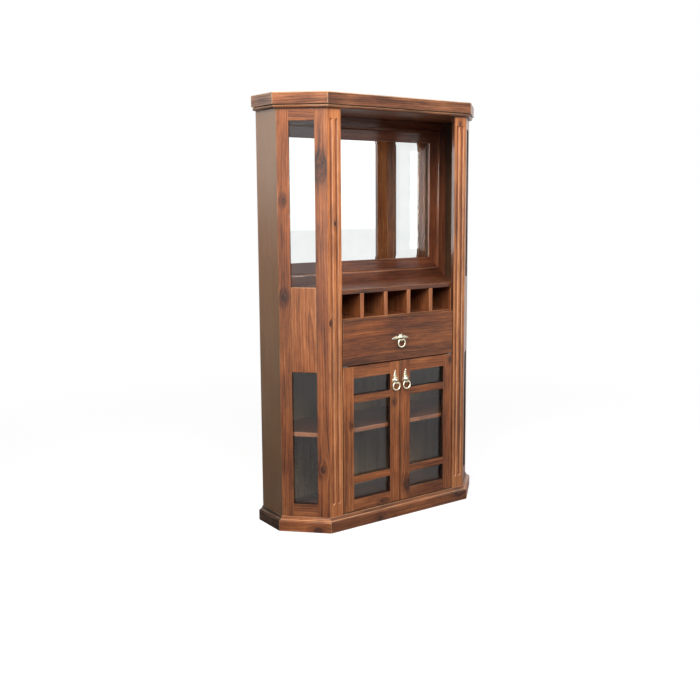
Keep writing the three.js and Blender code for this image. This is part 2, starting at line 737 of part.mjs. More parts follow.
// The hood is a dome that is hollowed from below for the ring; an eye under it holds the ring's dip.
function hood() {
  const quarter = arc(0, 0, 1, 0, 1 / 4, HOOD_STEPS);
  const profile = quarter.map(([x, y]) => new THREE.Vector2(HOOD_RADIUS * Math.abs(x), HOOD_RISE * y));
  profile[HOOD_STEPS].x = 0;
  const dome = new THREE.LatheGeometry([new THREE.Vector2(0, 0), ...profile], HOOD_SIDES)
    .rotateX(Math.PI)
    .translate(0, -PULL_PLATE_THICK / 2, HOOD_LIFT);
  return cut(dome, rod("x", POCKET_RADIUS, 2 * (HOOD_RADIUS + OVERRUN), POCKET_SIDES, pivotPoint));
}

function pullPlate(leafDirections) {
  const thick = PULL_PLATE_THICK - JOINT;
  const disc = rod("y", PULL_PLATE_RADIUS, thick, HOOD_SIDES, [0, -(PULL_PLATE_THICK + JOINT) / 2, 0]);
  const eye = new THREE.TorusGeometry(eyeRadius, EYE_WIRE_RADIUS, EYE_SIDES, EYE_STEPS)
    .rotateY(Math.PI / 2)
    .translate(...pivotPoint);
  const postTip = RING_PIVOT_REACH - eyeRadius;
  const postLength = postTip - PULL_PLATE_THICK / 2;
  const postMiddle = [0, -(postTip + PULL_PLATE_THICK / 2) / 2, -RING_PIVOT_DROP];
  const post = rod("y", POST_RADIUS, postLength, POST_SIDES, postMiddle);
  return join(disc, hood(), post, eye, ...leafDirections.map(leaf));
}

// A closed wire in the plane of the face: an oval whose top dips into the eye.
function ring() {
  const middle = pivotPoint[2] + RING_DIP - RING_HALF_HEIGHT;
  const centre = (turn) => {
    const angle = 2 * Math.PI * turn;
    const x = RING_HALF_WIDTH * Math.sin(angle);
    const up = Math.cos(angle);
    const dip = up > 0 ? RING_DIP * Math.exp(-((x / RING_DIP_WIDTH) ** 2)) * up : 0;
    return new THREE.Vector3(x, pivotPoint[1], middle + RING_HALF_HEIGHT * up - dip);
  };
  const across = new THREE.Vector3(0, 1, 0);
  const positions = [];
  const index = [];
  const stepTurn = 1 / RING_STEPS;
  for (let i = 0; i < RING_STEPS; i++) {
    const tangent = centre(i * stepTurn + stepTurn).sub(centre(i * stepTurn - stepTurn)).normalize();
    const outward = new THREE.Vector3().crossVectors(tangent, across);
    for (let j = 0; j < RING_SIDES; j++) {
      const angle = (2 * Math.PI * j) / RING_SIDES;
      const point = centre(i * stepTurn)
        .addScaledVector(outward, RING_WIRE_RADIUS * Math.cos(angle))
        .addScaledVector(across, RING_WIRE_RADIUS * Math.sin(angle));
      positions.push(...point.toArray());
      const [nextI, nextJ] = [(i + 1) % RING_STEPS, (j + 1) % RING_SIDES];
      const [a, b] = [i * RING_SIDES + j, i * RING_SIDES + nextJ];
      const [c, d] = [nextI * RING_SIDES + j, nextI * RING_SIDES + nextJ];
      index.push(a, b, c, b, d, c);
    }
  }
  const geometry = new THREE.BufferGeometry();
  geometry.setAttribute("position", new THREE.Float32BufferAttribute(positions, 3));
  return closed(geometry.setIndex(index));
}

const cabinet = new THREE.Group();
const drawer = new THREE.Group();
const doors = new THREE.Group();
cabinet.add(drawer, doors);

function add(name, geometry, material, group = cabinet) {
  const mesh = new THREE.Mesh(geometry, material.clone());
  mesh.geometry.computeVertexNormals();
  mesh.name = name;
  group.add(mesh);
  return mesh;
}

mouldingNames.forEach((name, i) => {
  add(`plinth_${name}`, mouldingRun(plinthProfile(), i), pine);
  add(`cornice_${name}`, mouldingRun(corniceProfile(), i), pine);
});

const hands = { left: -1, right: 1 };
for (const [name, hand] of Object.entries(hands)) {
  add(`pilaster_${name}`, pilaster(hand), pine);
  add(`side_panel_${name}`, sidePanel(hand), dullPine);
  add(`corner_frame_${name}`, cornerFrame(hand), pine);
  add(`corner_panel_${name}`, cornerPanel(hand), pine);
  const [panelFoot, panelTop] = cornerPanelHeights;
  const upperPane = [panelTop - GLASS_LAP, cornerWindowHead + GLASS_LAP];
  const lowerPane = [cornerWindowFoot - GLASS_LAP, panelFoot + GLASS_LAP];
  add(`corner_glass_upper_${name}`, cornerPane(hand, upperPane), glass);
  add(`corner_glass_lower_${name}`, cornerPane(hand, lowerPane), glass);
  add(`rack_side_${name}`, rackSide(hand), darkPine);
  add(`drawer_runner_${name}`, drawerRunner(hand), darkPine);
}

const kickHalf = openingHalf - JOINT;
const kickHeights = [0, plinthTop - BOARD_THICK - JOINT];
add("kick_board", block([-kickHalf, kickHalf], [front, front + FACE_THICK], kickHeights), dullPine);
add("bottom_board", bottomBoard(), darkPine);
const shelfTop = plinthTop + SHELF_RISE;
add("shelf", board(roomPlan(behindDoors), [shelfTop - SHELF_THICK, shelfTop]), dullPine);
add("drawer_deck", drawerDeck(), darkPine);
const rackHalf = openingHalf - JOINT;
const rackHeights = [rackFloor - BOARD_THICK, rackFloor];
add("rack_floor", block([-rackHalf, rackHalf], [boardFront, backWall - JOINT], rackHeights), darkPine);
for (let i = 0; i < RACK_SLOTS - 1; i++) add(`rack_divider_${i + 1}`, rackDivider(i), pine);
add("niche_floor", nicheFloorBoard(), pine);
add("ceiling_board", tonguedBoard([ceiling, ceiling + BOARD_THICK]), darkPine);
add("top_board", board(bodyPlan, [carcassTop + JOINT, HEIGHT]), dullPine);
const backHalf = side - SIDE_THICK - JOINT;
const backDepths = [backWall, backWall + BACK_THICK];
add("back_panel", block([-backHalf, backHalf], backDepths, [0, carcassTop]), plywood);
add("mirror_frame", mirrorFrame(), darkPine);
add("mirror", mirror(), silvering);

const drawerFrontHalf = openingHalf - DRAWER_FRONT_GAP;
const drawerFrontLimits = [
  [-drawerFrontHalf, drawerFrontHalf],
  [front, front + DRAWER_FRONT_THICK],
  [drawerFoot, drawerHead],
];
add("drawer_front", block(...drawerFrontLimits), pine, drawer);
add("drawer_back", drawerBack(), plywood, drawer);
add("drawer_bottom", drawerBottom(), plywood, drawer);
for (const [name, hand] of Object.entries(hands)) {
  add(`drawer_side_${name}`, drawerSide(hand), plywood, drawer);
}

// A pull's plate and ring, placed on the front.
function addPull(name, leafDirections, x, z, group) {
  const pull = new THREE.Group();
  pull.position.set(x, front, z);
  add(`${name}_pull_plate`, pullPlate(leafDirections), brass, pull);
  add(`${name}_pull_ring`, ring(), brass, pull);
  group.add(pull);
}

addPull("drawer", [[-1, 0], [1, 0]], 0, drawerFoot + DRAWER_PULL_RISE, drawer);

for (const [name, hand] of Object.entries(hands)) {
  add(`door_${name}`, door(hand), pine, doors);
  add(`door_glass_${name}`, doorGlass(hand), glass, doors);
  add(`door_pivot_lower_${name}`, lowerPivot(hand), steel);
  add(`door_pivot_upper_${name}`, upperPivot(hand), steel);
  const stileMiddle = hand * (doorInner + DOOR_STILE / 2);
  addPull(`door_${name}`, [[0, 1]], stileMiddle, doorHead - DOOR_PULL_DROP, doors);
}

export default cabinet;
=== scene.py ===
"""Looks of the glass display cabinet: stained pine, glass, mirror and brass, with a studio and a camera.

Metres. X runs to the right, Y to the back and Z is up. The cabinet's front looks towards -Y.
"""

import json
import math
import random
from dataclasses import dataclass

import bmesh
import bpy
from mathutils import Matrix, Vector


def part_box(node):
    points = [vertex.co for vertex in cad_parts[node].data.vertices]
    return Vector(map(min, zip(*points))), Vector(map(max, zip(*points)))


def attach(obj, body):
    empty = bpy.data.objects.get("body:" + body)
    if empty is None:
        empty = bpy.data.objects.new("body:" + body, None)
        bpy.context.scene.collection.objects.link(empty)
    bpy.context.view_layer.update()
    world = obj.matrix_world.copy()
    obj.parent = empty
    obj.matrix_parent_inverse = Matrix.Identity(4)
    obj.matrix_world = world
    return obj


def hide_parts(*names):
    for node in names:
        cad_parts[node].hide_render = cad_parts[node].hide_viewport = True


X, Y, Z = Vector((1, 0, 0)), Vector((0, 1, 0)), Vector((0, 0, 1))
INSIDE = Vector((0, 0.05, 0.9))  # a point in the cabinet's middle
CANT_LEFT = Vector((1, -1, 0)).normalized()  # along the left canted face, towards the front
CANT_RIGHT = Vector((-1, -1, 0)).normalized()

# Joinery, as the frame has it.
CORNER_STILE = 0.050
DOOR_STILE = 0.050
DOOR_SEAM = 0.085  # from a door's foot or head to where its rails are told from its bars
RAIL_REACH = 0.200  # a rail lies within this of its frame's foot or head

# Worked edges.
ARRISES = {"pine": 0.0020, "mirror_wood": 0.0012}
BOARD_ARRIS = 0.0006
ARRIS_STEPS = 2
CREASE = math.radians(28)  # sharper edges than this are eased
BEND = math.radians(1)  # edges that turn less than this lie in one face
FACET_WIDTH = 0.005  # narrower facets belong to a round
WELD = 2e-6
HAIRLINE = 0.00015  # each side of a glued joint

# How squarely a face looks along a direction, as a cosine.
SQUARE = 0.98
SIDEWAYS = 0.97
EDGE_ON = 0.6
FACING = 0.5
LEANING = 0.3

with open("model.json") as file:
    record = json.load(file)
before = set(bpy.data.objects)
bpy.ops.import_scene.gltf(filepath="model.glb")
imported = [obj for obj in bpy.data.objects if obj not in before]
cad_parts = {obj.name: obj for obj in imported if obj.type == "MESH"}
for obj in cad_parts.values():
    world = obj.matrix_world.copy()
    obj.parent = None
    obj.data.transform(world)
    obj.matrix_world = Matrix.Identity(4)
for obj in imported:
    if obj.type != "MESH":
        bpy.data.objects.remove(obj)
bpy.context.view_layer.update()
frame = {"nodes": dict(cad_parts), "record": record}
record = frame["record"]
body_of = {node: body for body, nodes in record["behaviour"]["bodies"].items() for node in nodes}
slot_of = {part["node"]: part["material_slot"] for part in record["subparts"]}
joint_place = {joint["name"]: Vector(joint["pos_m"]) for joint in record["behaviour"]["joints"] if "pos_m" in joint}


def add_object(name, data):
    made = bpy.data.objects.new(name, data)
    bpy.context.scene.collection.objects.link(made)
    return made


# ---- Finishes


class Nodes:
    """A node tree and short ways to add to it."""

    def __init__(self, tree):
        self.tree = tree

    def node(self, kind, inputs=None, **settings):
        """Adds a node; a kind without a family's name is a shader node."""
        made = self.tree.nodes.new(kind if "Node" in kind else "ShaderNode" + kind)
        for key, value in settings.items():
            setattr(made, key, value)
        for key, value in (inputs or {}).items():
            self.feed(made.inputs[key], value)
        return made

    def feed(self, socket, value):
        if isinstance(value, bpy.types.NodeSocket):
            self.tree.links.new(value, socket)
        else:
            socket.default_value = value

    def math(self, operation, *values, clamp=False):
        inputs = dict(enumerate(values))
        return self.node("Math", inputs, operation=operation, use_clamp=clamp).outputs[0]

    def plus(self, a, b):
        return self.math("ADD", a, b)

    def minus(self, a, b):
        return self.math("SUBTRACT", a, b)

    def times(self, a, b):
        return self.math("MULTIPLY", a, b)

    def over(self, a, b):
        return self.math("DIVIDE", a, b)

    def times_plus(self, a, b, c, clamp=False):
        """a times b, plus c."""
        return self.math("MULTIPLY_ADD", a, b, c, clamp=clamp)

    def squared(self, value):
        return self.math("POWER", value, 2.0)

    def combine(self, x=0.0, y=0.0, z=0.0):
        return self.node("CombineXYZ", {"X": x, "Y": y, "Z": z}).outputs[0]

    def separate(self, vector):
        return tuple(self.node("SeparateXYZ", {0: vector}).outputs)

    def remap(self, value, low, high, to_low=0.0, to_high=1.0, smooth=False):
        inputs = {"Value": value, "From Min": low, "From Max": high, "To Min": to_low, "To Max": to_high}
        kind = "SMOOTHSTEP" if smooth else "LINEAR"
        return self.node("MapRange", inputs, interpolation_type=kind).outputs[0]


class Finish(Nodes):
    """One material and the nodes that make it."""

    def __init__(self, name):
        self.material = bpy.data.materials.new(name)
        self.material.use_nodes = True
        super().__init__(self.material.node_tree)
        self.tree.nodes.clear()
        self.output = self.tree.nodes.new("ShaderNodeOutputMaterial")

    def attribute(self, name):
        return self.node("Attribute", attribute_name=name)

    def noise(self, vector, scale=1.0, detail=2.0, roughness=0.5):
        inputs = {"Vector": vector, "Scale": scale, "Detail": detail, "Roughness": roughness}
        return self.node("TexNoise", inputs)

    def grey(self, vector, scale=1.0, detail=2.0, roughness=0.5):
        return self.noise(vector, scale, detail, roughness).outputs["Fac"]

    def ramp(self, value, stops):
        made = self.node("ValToRGB", {0: value})
        elements = made.color_ramp.elements
        while len(elements) < len(stops):
            elements.new(0.5)
        for element, (place, colour) in zip(elements, stops):
            element.position = place
            element.color = (*colour, 1)
        return made.outputs[0]

    def mix(self, factor, a, b, blend="MIX"):
        made = self.node("Mix", data_type="RGBA", blend_type=blend)
        for socket, value in zip((made.inputs[0], made.inputs[6], made.inputs[7]), (factor, a, b)):
            self.feed(socket, value)
        return made.outputs[2]

    def bump(self, height, distance, strength=1.0):
        inputs = {"Height": height, "Distance": distance, "Strength": strength}
        return self.node("Bump", inputs).outputs[0]

    def principled(self, inputs):
        return self.node("BsdfPrincipled", inputs).outputs[0]

    def surface(self, shader):
        self.tree.links.new(shader, self.output.inputs["Surface"])
        return self.material


def srgb(red, green, blue):
    """A colour as it is seen, in 0 to 255, as the shader's light values."""
    shares = (channel / 255 for channel in (red, green, blue))
    return tuple(s / 12.92 if s <= 0.04045 else ((s + 0.055) / 1.055) ** 2.4 for s in shares)


@dataclass
class Stain:
    """How a board is coloured and varnished."""

    name: str
    tones: tuple  # early wood, middle, late wood, and knots and resin, in 0 to 255
    worn_and_highlit: tuple = (214, 160, 116)  # eased edges, where the stain has rubbed thin and a painted highlight lightens them
    rings: float = 0.26  # how far each of these changes the tone
    streaks: float = 0.16
    dashes: float = 0.17
    fibres: float = 0.10
    blotches: float = 0.20
    roughness: float = 0.4
    gloss: float = 0.2
    coat: float = 0.0
    wear_and_highlight: float = 0.95
    knotty: bool = False


# A tone of 0 is early wood and 1 is resin. Noise lies about 0.5.
TONE_PLACES = (0.0, 0.33, 0.68, 1.0)
MIDDLE_TONE = 0.3
RING_PITCH = 0.0075
PITH_WANDER, PITH_WAVES = 0.045, 1.3  # how far the pith leaves its line, and how often along a metre
RIPPLE, PACE = 0.7, 2.6  # how far, in years, ripples and fat or lean times shift a ring
SEASON = ((0, 0), (0.4, 0.08), (0.78, 0.75), (0.9, 1), (1, 0))  # how dark the wood grows through a year
YEAR_STRENGTH = (0.15, 1.3)
MARKS = {  # how fine each mark is along the grain and across it, its detail and its roughness
    "fibre": (11.0, 620.0, 3.0, 0.6),
    "dash": (9.0, 190.0, 3.0, 0.65),
    "streak": (1.4, 62.0, 3.0, 0.6),
    "fleck": (45.0, 900.0, 0.0, 0.5),
    "blotch": (4.5, 13.0, 4.0, 0.6),
    "ruddy": (2.1, 6.0, 2.0, 0.5),
}
FLECK_TONE = 0.2
RED_PATCH = (1.0, 0.90, 0.82)
DULL_SHEEN = 0.15
GRAIN_RELIEF = 0.00025
MIRROR_ROUGHNESS = (0.008, 0.02)
HOLLOW_ROUGHNESS = 0.3  # how much rougher metal is in its hollows
CAST_RELIEF = 0.00006

KNOT_SLOTS = ("knot_a", "knot_b")
KNOT_STRETCH = 0.62  # knots are longer along the grain
KNOT_PUSH, KNOT_SOFTNESS = 2.6, 0.35  # how far a knot turns the grain, and how softly at its heart
KNOT_RAGGED = 2.2
HALO_REACH, HALO_TONE = (3.4, 0.7), 0.26  # reaches are in the knot's own sizes
HEART_REACH, HEART_TONES = (1.15, 0.7), (0.9, 0.4)
SWIRL_TURNS, SWIRL_FIBRE, SWIRL_TONE = 13.0, 3.0, 0.1
BARK_WIDTH, BARK_BREAKS, BARK_TONE = 0.22, (0.47, 0.6), 0.28


def knot_flow(f, slot):
    """How far a knot pushes the grain aside, and how many of its own sizes away it lies."""
    along, across, size = f.separate(f.attribute(slot).outputs["Vector"])
    distance_squared = f.plus(f.squared(f.times(along, KNOT_STRETCH)), f.squared(across))
    size_squared = f.times(f.squared(size), KNOT_PUSH)
    softened = f.times_plus(size_squared, KNOT_SOFTNESS, distance_squared)
    push = f.over(f.times(across, size_squared), softened)
    return f.times(push, -1.0), f.over(f.math("SQRT", distance_squared), size)


def knot_tone(f, tone, reach, fibre, ragged):
    """Darkens the tone to a knot with swirled rings, a broken bark line and a smoky halo."""
    uneven = f.times_plus(f.minus(ragged, 0.5), KNOT_RAGGED, reach)
    tone = f.times_plus(f.remap(uneven, *HALO_REACH, smooth=True), HALO_TONE, tone)
    swirl = f.math("SINE", f.times_plus(uneven, SWIRL_TURNS, f.times(fibre, SWIRL_FIBRE)))
    heart = f.times_plus(swirl, SWIRL_TONE, f.times_plus(ragged, *HEART_TONES))
    tone = f.mix(f.remap(uneven, *HEART_REACH, smooth=True), tone, heart)
    bark = f.remap(f.math("ABSOLUTE", f.minus(uneven, 1.0)), BARK_WIDTH, 0.0, smooth=True)
    return f.times_plus(f.times(bark, f.remap(ragged, *BARK_BREAKS)), BARK_TONE, tone)


def late_wood(f, grain, v_ring, w_ring):
    """How dark the growth rings make the wood, from 0 to about 1."""
    u, v, w = grain
    radius = f.math("SQRT", f.plus(f.squared(v_ring), f.squared(w_ring)))
    ripple = f.grey(f.combine(f.times(u, 3.0), f.times(v, 22.0), f.times(w, 22.0)), detail=2.0)
    years = f.times_plus(ripple, RIPPLE, f.over(radius, RING_PITCH))
    pace = f.grey(f.combine(f.times(radius, 38.0), 4.0, 1.0), detail=1.0)
    years = f.times_plus(pace, PACE, years)
    late = f.ramp(f.math("FRACT", years), [(place, (dark,) * 3) for place, dark in SEASON])
    year_seed = f.combine(f.times(f.math("FLOOR", years), 3.7), 9.0, 2.0)
    return f.times(late, f.remap(f.grey(year_seed, detail=0.0), 0.25, 0.75, *YEAR_STRENGTH))


def stained_pine(stain):
    """Growth rings round a wandering pith, fibres, resin flecks, knots and a satin varnish, with painted shade, and
    painted highlights on the worn edges.
    """
    f = Finish(stain.name)
    grain = u, v, w = f.separate(f.attribute("grain").outputs["Vector"])
    wander = f.noise(f.combine(f.times(u, PITH_WAVES), 0.7, 0.2), detail=1.0)
    drift_v, drift_w, _ = f.separate(wander.outputs["Color"])
    v_ring = f.times_plus(f.minus(drift_v, 0.5), PITH_WANDER, v)
    w_ring = f.times_plus(f.minus(drift_w, 0.5), PITH_WANDER, w)
    reaches = []
    for slot in KNOT_SLOTS if stain.knotty else ():
        push, reach = knot_flow(f, slot)
        v_ring = f.plus(v_ring, push)
        reaches.append(reach)
    late = late_wood(f, grain, v_ring, w_ring)

    def mark(along, across, detail, roughness):
        place = f.combine(f.times(u, along), f.times(v_ring, across), f.times(w, across))
        return f.grey(place, detail=detail, roughness=roughness)

    fibre, dash, streak, fleck, blotch, ruddy = (mark(*values) for values in MARKS.values())
    fleck = f.remap(fleck, 0.66, 0.78)
    ragged = f.grey(f.combine(f.times(u, 38.0), f.times(v, 62.0), 3.0), detail=3.0)

    tone = f.times_plus(late, stain.rings, MIDDLE_TONE - stain.rings * MIDDLE_TONE)
    amounts = ((streak, stain.streaks), (dash, stain.dashes), (fibre, stain.fibres), (blotch, stain.blotches))
    for value, share in amounts:
        tone = f.plus(tone, f.remap(value, 0.28, 0.72, -share, share))
    tone = f.times_plus(fleck, FLECK_TONE, tone)
    # Each face's tone from its attribute: the board's own tone, and painted shade in reveals, gaps, hollows, inner
    # faces and parts the lamps light too much.
    tone = f.plus(f.attribute("shade").outputs["Fac"], tone)
    for reach in reaches:
        tone = knot_tone(f, tone, reach, fibre, ragged)

    colour = f.ramp(tone, [(place, srgb(*seen)) for place, seen in zip(TONE_PLACES, stain.tones)])
    colour = f.mix(f.remap(ruddy, 0.4, 0.65), colour, (*RED_PATCH, 1), blend="MULTIPLY")
    # Eased edges are lightened: rubbed stain, and a painted highlight along them.
    edge = f.attribute("edge").outputs["Fac"]
    rubbed_and_highlit = f.times(edge, f.remap(dash, 0.32, 0.62, stain.wear_and_highlight, stain.wear_and_highlight * 0.45))
    colour = f.mix(rubbed_and_highlit, colour, (*srgb(*stain.worn_and_highlit), 1))
    # Dulled faces are less glossy and greyer; the greying is partly the duller finish and partly painted haze of
    # reflected light.
    dull = f.attribute("dull").outputs["Fac"]
    greyed = f.node("HueSaturation", {"Hue": 0.51, "Saturation": 0.8, "Color": colour}).outputs[0]
    height = f.times_plus(fibre, 0.6, f.times(late, -0.4))
    height = f.times_plus(fleck, -0.8, height)
    sheen = f.remap(dull, 0.0, 1.0, 1.0, DULL_SHEEN)
    look = {
        "Base Color": f.mix(dull, colour, greyed),
        "Roughness": f.remap(fibre, 0.3, 0.7, stain.roughness + 0.06, stain.roughness - 0.04),
        "Specular IOR Level": f.times(sheen, stain.gloss),
        "Coat Weight": f.times(sheen, stain.coat),
        "Coat Roughness": 0.12,
        "Normal": f.bump(height, GRAIN_RELIEF, 0.5),
    }
    return f.surface(f.principled(look))


def window_glass():
    """Clear float glass that lets the lamps through."""
    f = Finish("window glass")
    look = {"Base Color": (0.975, 0.985, 0.978, 1), "Roughness": 0.0, "IOR": 1.4, "Transmission Weight": 1.0}
    glass = f.principled(look)
    clear = f.node("BsdfTransparent", {"Color": (0.95, 0.96, 0.955, 1)}).outputs[0]
    rays = f.node("LightPath").outputs
    lighting = f.math("MAXIMUM", rays["Is Shadow Ray"], rays["Is Diffuse Ray"])
    return f.surface(f.node("MixShader", {0: lighting, 1: glass, 2: clear}).outputs[0])


def mirror_glass():
    """Silvered glass with the faintest haze."""
    f = Finish("mirror silver")
    haze = f.grey(f.node("TexCoord").outputs["Object"], scale=14.0, detail=3.0)
    look = {
        "Base Color": f.ramp(haze, [(0.3, srgb(238, 241, 240)), (0.7, srgb(244, 246, 246))]),
        "Metallic": 1.0,
        "Roughness": f.remap(haze, 0.2, 0.8, *MIRROR_ROUGHNESS),
    }
    return f.surface(f.principled(look))


def cast_metal(name, high, low, roughness):
    """Cast metal, polished where it stands out, and dull and dark in its hollows: partly patina and partly painted
    shade.
    """
    f = Finish(name)
    place = f.node("TexCoord").outputs["Object"]
    speckle = f.grey(place, scale=900.0, detail=3.0, roughness=0.6)
    patches = f.grey(place, scale=220.0, detail=2.0)
    hollow = f.attribute("hollow").outputs["Fac"]
    # How dull and dark a point is: rougher, and darker as patina and painted shade.
    dull = f.times_plus(f.minus(patches, 0.5), 0.8, hollow, clamp=True)
    look = {
        "Base Color": f.mix(dull, (*srgb(*high), 1), (*srgb(*low), 1)),
        "Metallic": 0.92,
        "Roughness": f.remap(dull, 0.0, 1.0, roughness, roughness + HOLLOW_ROUGHNESS),
        "Normal": f.bump(speckle, CAST_RELIEF, 0.4),
    }
    return f.surface(f.principled(look))


STAINS = {
    "pine": Stain(
        "stained pine",
        tones=((184, 120, 74), (142, 84, 48), (90, 50, 30), (34, 19, 13)),
        worn_and_highlit=(236, 190, 144),
        gloss=0.3,
        coat=0.18,
        knotty=True,
    ),
    "pine_side": Stain(
        "dull side pine",
        tones=((120, 90, 64), (102, 75, 52), (80, 57, 39), (46, 32, 22)),
        rings=0.04,
        streaks=0.06,
        dashes=0.05,
        blotches=0.1,
        roughness=0.38,
        gloss=0.12,
        wear_and_highlight=0.4,
    ),
    "pine_board": Stain(
        "inner pine",
        tones=((160, 100, 62), (124, 72, 42), (84, 46, 28), (36, 20, 14)),
        gloss=0.35,
        coat=0.25,
    ),
    "mirror_wood": Stain(
        "dark moulding",
        tones=((134, 78, 50), (102, 57, 36), (68, 37, 25), (28, 16, 11)),
        worn_and_highlit=(176, 120, 88),
        blotches=0.24,
        coat=0.7,
        wear_and_highlight=0.6,
        knotty=True,
    ),
    "backing": Stain(
        "stained plywood",
        tones=((122, 100, 72), (106, 84, 60), (88, 68, 48), (42, 30, 22)),
        worn_and_highlit=(120, 94, 70),
        rings=0.14,
        roughness=0.6,
        gloss=0.15,
    ),
    "drawer_wood": Stain(
        "bare pine",
        tones=((222, 190, 144), (204, 166, 118), (178, 134, 88), (112, 76, 48)),
        worn_and_highlit=(228, 198, 156),
        roughness=0.6,
    ),
}
finishes = {
    **{slot: stained_pine(stain) for slot, stain in STAINS.items()},
    "window_glass": window_glass(),
    "mirror_glass": mirror_glass(),
    "pull_brass": cast_metal("antique brass", (240, 232, 204), (62, 58, 54), 0.2),
    "pivot_steel": cast_metal("zinc-plated steel", (140, 142, 142), (84, 86, 86), 0.35),
}


# ---- Members and their grain


@dataclass
class Cut:
    """A member keeps only what lies on this plane's side, along the normal."""

    place: Vector
    normal: Vector


@dataclass
class Member:
    """One length of wood in a node: which way it runs, and where it is cut from the node."""

    along: Vector
    cuts: tuple = ()
    # How much darker the member is drawn: painted shade on the foot rails, a lighter own tone on the door stiles.
    shade: float = 0.0


def spread(points, direction):
    reaches = [point.dot(direction) for point in points]
    return min(reaches), max(reaches)


def between(direction, low=None, high=None):
    """Cuts that keep what lies between two distances along a direction."""
    cuts = []
    if low is not None:
        cuts.append(Cut(direction * (low + HAIRLINE), direction))
    if high is not None:
        cuts.append(Cut(direction * (high - HAIRLINE), -direction))
    return tuple(cuts)


def welded(node):
    """A copy of a CAD node's mesh as one closed solid with whole faces."""
    solid = bmesh.new()
    solid.from_mesh(frame["nodes"][node].data)
    solid.faces.layers.int.new("seam")
    bmesh.ops.remove_doubles(solid, verts=solid.verts, dist=WELD)
    edges, verts = solid.edges[:], solid.verts[:]
    bmesh.ops.dissolve_limit(solid, angle_limit=BEND / 10, verts=verts, edges=edges)
    return solid


def keep_side(solid, cut):
    """Cuts a solid off at a plane, closes it there and marks the new face as a glued seam."""
    everything = solid.verts[:] + solid.edges[:] + solid.faces[:]
    made = bmesh.ops.bisect_plane(
        solid, geom=everything, plane_co=cut.place, plane_no=cut.normal, clear_inner=True, dist=WELD
    )
    rim = [part for part in made["geom_cut"] if isinstance(part, bmesh.types.BMEdge)]
    if not rim:
        return
    bmesh.ops.edgenet_fill(solid, edges=rim)
    bmesh.ops.recalc_face_normals(solid, faces=solid.faces)
    seam = solid.faces.layers.int["seam"]
    for face in solid.faces:
        off_plane = abs((face.calc_center_median() - cut.place).dot(cut.normal))
        if abs(face.normal.dot(cut.normal)) > SQUARE and off_plane < WELD * 5:
            face[seam] = 1


def grain_axes(points, along):
    """The member's directions along its grain, across its face and through its thickness."""
    cross = [d for d in (X, Y, Z, CANT_LEFT, CANT_RIGHT) if abs(d.dot(along)) < 0.01]
    if along in (X, Y):
        cross = [d for d in cross if d in (X, Y, Z)]

    def reach(direction):
        low, high = spread(points, direction)
        return high - low

    through = min(cross, key=reach)
    return along, through.cross(along), through


def ease(solid, width):
    """Rounds the sharp edges and tells which faces are worn edges that carry a painted highlight, and which lie deeper
    in a round.
    """

    def turn(edge):
        return edge.calc_face_angle(0)

    rounds = set()
    for face in solid.faces:
        longest = max(edge.calc_length() for edge in face.edges)
        gentle = any(BEND < turn(edge) < CREASE for edge in face.edges)
        if gentle and face.calc_area() / longest < FACET_WIDTH:
            rounds.add(face)
    for face in solid.faces:
        face.smooth = face in rounds
    rims = {face for face in rounds if any(turn(edge) > CREASE for edge in face.edges)}
    seam = solid.faces.layers.int["seam"]
    sharp = [e for e in solid.edges if turn(e) > CREASE and not any(face[seam] for face in e.link_faces)]
    made = bmesh.ops.bevel(
        solid,
        geom=sharp,
        offset=width,
        offset_type="OFFSET",
        segments=ARRIS_STEPS,
        profile=0.5,
        affect="EDGES",
        clamp_overlap=True,
    )
    for face in made["faces"]:
        face.smooth = True
    worn_and_highlit = set(made["faces"]) | {face for face in rims if face.is_valid}
    return worn_and_highlit, {face for face in rounds if face.is_valid} - worn_and_highlit


# The knots that show, by node: where each lies on the cabinet, and its size.
KNOTS = {
    "corner_frame_left": (
        (-0.376, -0.123, 1.470, 0.017),
        (-0.377, -0.122, 0.260, 0.010),
        (-0.482, -0.017, 1.344, 0.008),
        (-0.485, -0.015, 0.960, 0.010),
    ),
    "pilaster_left": ((-0.321, -0.143, 1.254, 0.007), (-0.345, -0.143, 0.861, 0.008)),
    "pilaster_right": ((0.323, -0.143, 1.668, 0.006),),
    "plinth_corner_left": ((-0.403, -0.124, 0.012, 0.012),),
    "plinth_front": ((-0.117, -0.163, 0.013, 0.010), (0.324, -0.163, 0.036, 0.008)),
    "door_left": (
        (-0.092, -0.143, 0.079, 0.008),
        (-0.250, -0.143, 0.430, 0.006),
        (-0.032, -0.143, 0.500, 0.006),
    ),
    "door_right": ((0.040, -0.143, 0.130, 0.013), (0.276, -0.143, 0.648, 0.008)),
}
NO_KNOT = (9.0, 9.0, 0.01)  # out of reach
KNOT_MARGIN = 0.01  # how far outside a member a knot's middle may lie
CHANCE_LENGTH, CHANCE_SHARE = 0.25, 0.35  # the members that get a knot by chance
CHANCE_ALONG, CHANCE_ACROSS = (0.12, 0.88), (0.25, 0.75)
CHANCE_SIZES, CHANCE_WIDTH = (0.005, 0.01), 0.16


def knots_on(node, rng, axes, spans):
    """The knots of a member, in its own directions: those seen in the photo, or else one by chance."""
    found = []
    for *place, size in KNOTS.get(node, ()):
        reaches = [Vector(place).dot(axis) for axis in axes]
        if all(low - KNOT_MARGIN < reach < high + KNOT_MARGIN for reach, (low, high) in zip(reaches, spans)):
            found.append((reaches[0], reaches[1], size))
    (foot, head), (edge, far_edge), _ = spans
    if node not in KNOTS and head - foot > CHANCE_LENGTH and rng.random() < CHANCE_SHARE:
        width = far_edge - edge
        along = foot + (head - foot) * rng.uniform(*CHANCE_ALONG)
        across = edge + width * rng.uniform(*CHANCE_ACROSS)
        found.append((along, across, min(width * CHANCE_WIDTH, rng.uniform(*CHANCE_SIZES))))
    return found[: len(KNOT_SLOTS)]
